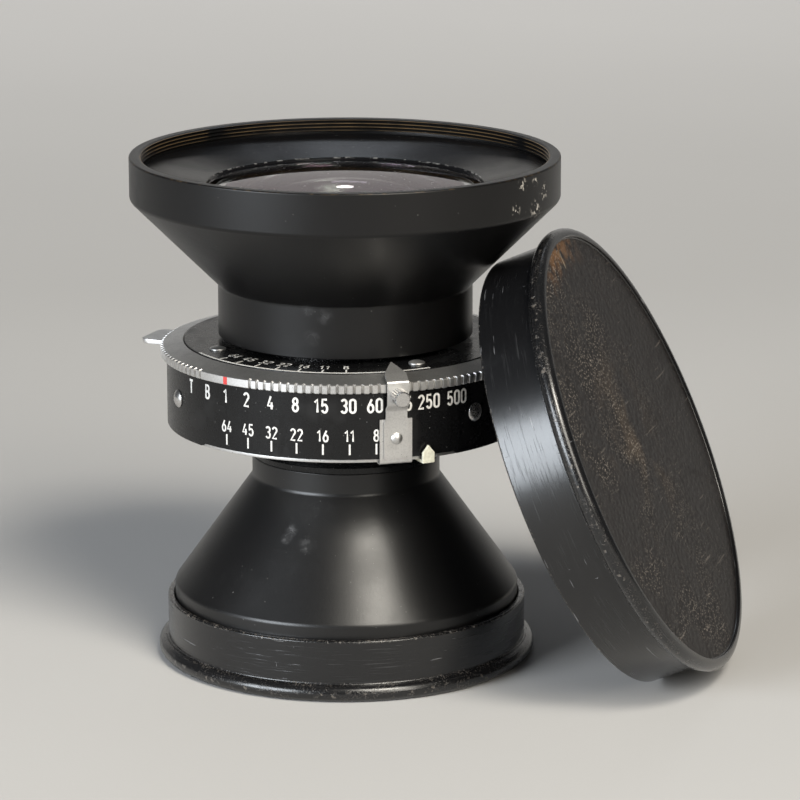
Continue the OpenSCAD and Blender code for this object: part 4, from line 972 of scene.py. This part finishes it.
ivory = print_white("pointer_ivory", (0.56, 0.54, 0.43), (0.7, 0.69, 0.56))
pointer = eased("aperture_pointer", 0.1)
piece(pointer, "pointer_flag", "aperture_control", ivory, "white_enamel", "aperture_pointer")


# The speed ring is turned from metal, satin chromed, and milled all around its edge except for one
# plain place with a red index line. Its top slopes up to the front plate that it turns around.
ring_low, ring_high = span("speed_ring")
ring_r = 30.3
ring_edge = ring_low.z + 1.4
ring_bore = 26.5
ring_break = 0.12
skirt_bore = 28.05
ledge_r, ledge_low, ledge_high = 27.6, 51.18, 52.0
pitch, cuts = 2.5, 10
notch = {0: 0.55, 1: 0.45, cuts - 1: 0.45}
plain_from, plain_to = -48.2, -30.5
made = turned([
    (skirt_bore, ring_low.z), (ring_r - ring_break, ring_low.z), (ring_r, ring_low.z + ring_break),
    (ring_r, ring_edge - 0.1), (ring_r - 0.1, ring_edge), (ring_r - 0.5, ring_edge + ring_break),
    (ring_bore + 0.15, ring_high.z), (ring_bore, ring_high.z - ring_break), (ring_bore, ledge_high),
    (ledge_r, ledge_high), (ledge_r, ledge_low), (skirt_bore, ledge_low),
], round(360 / pitch) * cuts)
for vert in made.verts:
    side = around(vert)
    step = round((side % pitch) / pitch * cuts) % cuts
    if vert.co.xy.length > ring_r - 0.2 and not plain_from < side < plain_to:
        vert.co.xy *= 1 - notch.get(step, 0) / ring_r
piece(made, "speed_ring_milled", "speed_control", satin_chrome, "satin_chrome", "speed_ring")

red = Finish("index_red")
red_wear = red.noise(3, 3)
red.shade(
    Base_Color=red.mixed(red_wear, (0.5, 0.03, 0.03), (0.62, 0.06, 0.05)),
    Roughness=0.45 + 0.1 * red_wear,
)
index_side, index_w, index_h = -39, 0.75, 1.2
index_line = wrapped(stroke(index_w, index_h), index_side, (ring_low.z + ring_edge) / 2, ring_r)
piece(index_line, "speed_index", "speed_control", red, "white_enamel")


# The front plate closes the shutter and holds the speed ring down. On it lies the scale plate, a thin
# black disc with the upper stops printed in white, fixed by three slotted screws.
dress(case_enamel, "front_plate")
plate_low, plate_high = span("scale_plate")
plate_bore = 15.92
piece(
    turned([
        (plate_bore, plate_low.z), (plate_high.x, plate_low.z), (plate_high.x, plate_high.z, 0.12),
        (plate_bore, plate_high.z),
    ]),
    "scale_disc", "lens", enamel("plate_enamel", 0.003), "black_paint", "scale_plate",
)


def laid(made, side, r, z):
    """Lays a flat print on the plate, with its top towards the axis."""
    place = Matrix.Rotation(math.radians(side), 4, "Z") @ Matrix.Translation((0, -r, z + print_t / 2))
    bmesh.ops.transform(made, matrix=place, verts=made.verts)
    return made


plate_z = plate_high.z
upper_first, upper_pitch = -51.4, 8.6
upper_r, upper_h, upper_w = 22.5, 2.1, 0.24
upper_tick_r, upper_tick_h, upper_tick_w = 24.9, 1.5, 0.25
prints = []
for number, text in enumerate(stops):
    side = upper_first + number * upper_pitch
    prints.append(laid(figure(text, upper_h, upper_w), side, upper_r, plate_z))
    prints.append(laid(stroke(upper_tick_w, upper_tick_h), side, upper_tick_r, plate_z))
line_from, line_to = -64, 30.6
line_in_r, line_out_r = 25.9, 26.32
made = bmesh.new()
start = made.edges.new([made.verts.new((0, -r, plate_z + print_t)) for r in (line_in_r, line_out_r)])
bmesh.ops.spin(
    made, geom=[start, *start.verts], cent=(0, 0, 0), axis=(0, 0, 1),
    angle=math.radians(line_to - line_from), steps=96,
)
swung(made, line_from)
bmesh.ops.recalc_face_normals(made, faces=made.faces)
bmesh.ops.solidify(made, geom=made.faces[:], thickness=print_t)
prints.append(made)
piece(gathered(prints), "plate_print", "lens", scale_ink, "white_enamel")


def slotted(head, width, depth):
    """Cuts a screwdriver slot along Y into the top of a head made on the upright axis."""
    for edge_x in (-width / 2, width / 2):
        geom = head.verts[:] + head.edges[:] + head.faces[:]
        bmesh.ops.bisect_plane(head, geom=geom, plane_co=(edge_x, 0, 0), plane_no=(1, 0, 0))
    slot_floor = max(vert.co.z for vert in head.verts) - depth
    top = [face for face in head.faces if face.normal.z > -0.1 and face.calc_center_median().z > 0]
    strip = [face for face in top if abs(face.calc_center_median().x) < width / 2]
    for part in bmesh.ops.extrude_face_region(head, geom=strip)["geom"]:
        if isinstance(part, bmesh.types.BMVert):
            part.co.z = min(part.co.z, slot_floor)
    return head


plate_screw_r = 22.6
plate_screw_turns = ((-66, 30), (30, 80), (162, 10))
slot_w, slot_depth = 0.4, 0.32
low_crown = dome(apex=0.55, crown=0.3, crown_r=1.2, edge_r=1.15, steps=6)
heads = []
for side, slot_turn in plate_screw_turns:
    head = domed(shank_r=1.3, shank_l=0.25, head_r=1.35, rim_h=0.22, rounds=(0.06, 0.12), crown=low_crown)
    slotted(head, slot_w, slot_depth)
    swung(head, slot_turn)
    bmesh.ops.translate(head, vec=(0, -plate_screw_r, plate_z), verts=head.verts)
    heads.append(swung(head, side))
piece(gathered(heads), "plate_screws", "lens", satin_chrome, "satin_chrome", "scale_plate_screws")


# The front cell is a black tube that holds the front glass and screws into the shutter. The barrel
# around it is one turned piece, neck, cone and rim, with a filter thread cut inside the rim.
front_low, front_high = span("front_barrel")
front_rim_r = 35.0
front_neck_r = 20.8
front_wall = 2.2
neck_low = front_low.z
cone_low = neck_low + 8.5
rim_low = cone_low + 14.2
rim_top = front_high.z
filter_r = 33.1
filter_pitch, filter_depth = 0.6, 0.4
filter_low, filter_high = rim_top - 2.0, rim_top - 0.3
filter_mouth_r = filter_r + 0.45
runout_r = filter_r + 0.5
name_high = filter_low - 0.4
name_shelf = name_high - 1.2
name_seat_r = filter_r - 0.4
inner_cone_r = name_seat_r - 0.8
cone_out = front_wall * math.sqrt(2)
front_smudges = (
    ((-5.9, -19.9, 62.0), 1.6, 0.06),
    ((-3.3, -20.5, 60.8), 1.8, 0.06),
    ((-5.3, -20.1, 57.3), 1.8, 0.06),
)
rim_chips = (
    ((27.9, -21.1, 82.1), 1.6),
    ((30.1, -17.8, 82.6), 1.7),
    ((31.5, -15.3, 79.8), 2.0),
    ((26.8, -22.5, 78.3), 1.4),
    ((30.1, -17.8, 77.5), 2.2),
)
# The thread crests get painted bronze glints, and the rim's top edge gets a painted highlight broken by wear
# specks.
front_black = anodised(
    "front_barrel_black", 0.32, 0.28, front_smudges, rim_chips, filter_r, filter_low, (front_rim_r, rim_top),
)
piece(
    turned([
        (front_neck_r - front_wall, neck_low), (front_neck_r, neck_low, 0.2), (front_neck_r, cone_low, 0.3),
        (front_rim_r, rim_low, 0.4), (front_rim_r, rim_top, 0.3), (filter_mouth_r, rim_top, 0.12),
        *reversed(thread(filter_r, filter_low, filter_high, filter_pitch, filter_depth)),
        (runout_r, filter_low), (runout_r, name_high),
        (name_seat_r, name_high), (name_seat_r, name_shelf), (inner_cone_r, name_shelf),
        (inner_cone_r, cone_low + inner_cone_r - front_neck_r + cone_out),
        (front_neck_r - front_wall, cone_low + cone_out - front_wall),
    ]),
    "front_barrel_shell", "lens", front_black, "black_anodised", "front_barrel",
)
dress(anodised("front_cell_black"), "front_cell")


# The name ring is a thin conical ring of turned aluminium, anodised a deep black. It covers the space
# around the front glass, and its stepped inner lip holds the glass by its edge.
lens_r = span("front_lens")[1].x
glass_z = front_seat + outer_edge
lip_r = lens_r - crown_rim
name_in_r = lip_r + 0.3
name_in_z = name_high - 2.3
name_r = name_seat_r - 0.02
cell_r, cell_bore_r = lens_r + 1.45, lens_r + 0.05
cell_top = name_in_z - 1.2
name_black = Finish("name_ring_black")
brushed = name_black.noise(6, 2, (1, 1, 1), name_black.profile())
dulled = name_black.patches(0.4, 0.7, 0.1, 4)
ring_dust = name_black.dots(0.8, 0.09)
# Light specks along the inner lip's edge: partly chips of wear, partly painted glints of that bright edge.
lip_chips_and_glints = name_black.ringed(name_in_r, name_in_z, 0.28) * name_black.patches(0.5, 0.6, 0.7, 4)
name_black.shade(
    Base_Color=name_black.mixed(0.3 * ring_dust + 0.35 * lip_chips_and_glints, (0.004, 0.004, 0.0045), (0.4, 0.39, 0.38)),
    Roughness=0.15 + 0.07 * dulled + 0.04 * brushed,
    Normal=name_black.bumped(brushed, 0.004),
    Specular_IOR_Level=0.36,
)
piece(
    turned([
        (name_r, name_high, 0.1), (name_in_r, name_in_z, 0.12), (lip_r, glass_z), (cell_bore_r, glass_z),
        (cell_bore_r, cell_top), (cell_r, cell_top), (inner_cone_r, name_shelf), (name_r, name_shelf),
    ]),
    "name_ring_shell", "lens", name_black, "black_anodised", "name_ring",
)


# The front cap is moulded like the rear one, larger and with a hollow grained face. It is taken off
# and leans on the front barrel, standing on its lip.
lean_side, lean_tilt = 73.8, 23.7
front_cap_h = 12.0
cap_lip_r = front_rim_r + cap_play + cap_wall
lean_out = 39.52
lean = (
    Matrix.Rotation(math.radians(lean_side - 90), 4, "Z")
    @ Matrix.Translation((lean_out, 0, cap_lip_r * math.cos(math.radians(lean_tilt))))
    @ Matrix.Rotation(math.radians(-90 - lean_tilt), 4, "Y")
    @ Matrix.Translation((0, 0, -front_cap_h))
)
made = turned(cap_profile(front_rim_r, front_cap_h, face_recess), 320)
bmesh.ops.transform(made, matrix=lean, verts=made.verts)
cap_plastic = worn_plastic(
    "front_cap_plastic", cap_lip_r, front_cap_h, lean.to_translation() * MM, lean.to_euler(),
)
piece(made, "front_cap_shell", "front_cap", cap_plastic, "black_plastic", "front_cap")
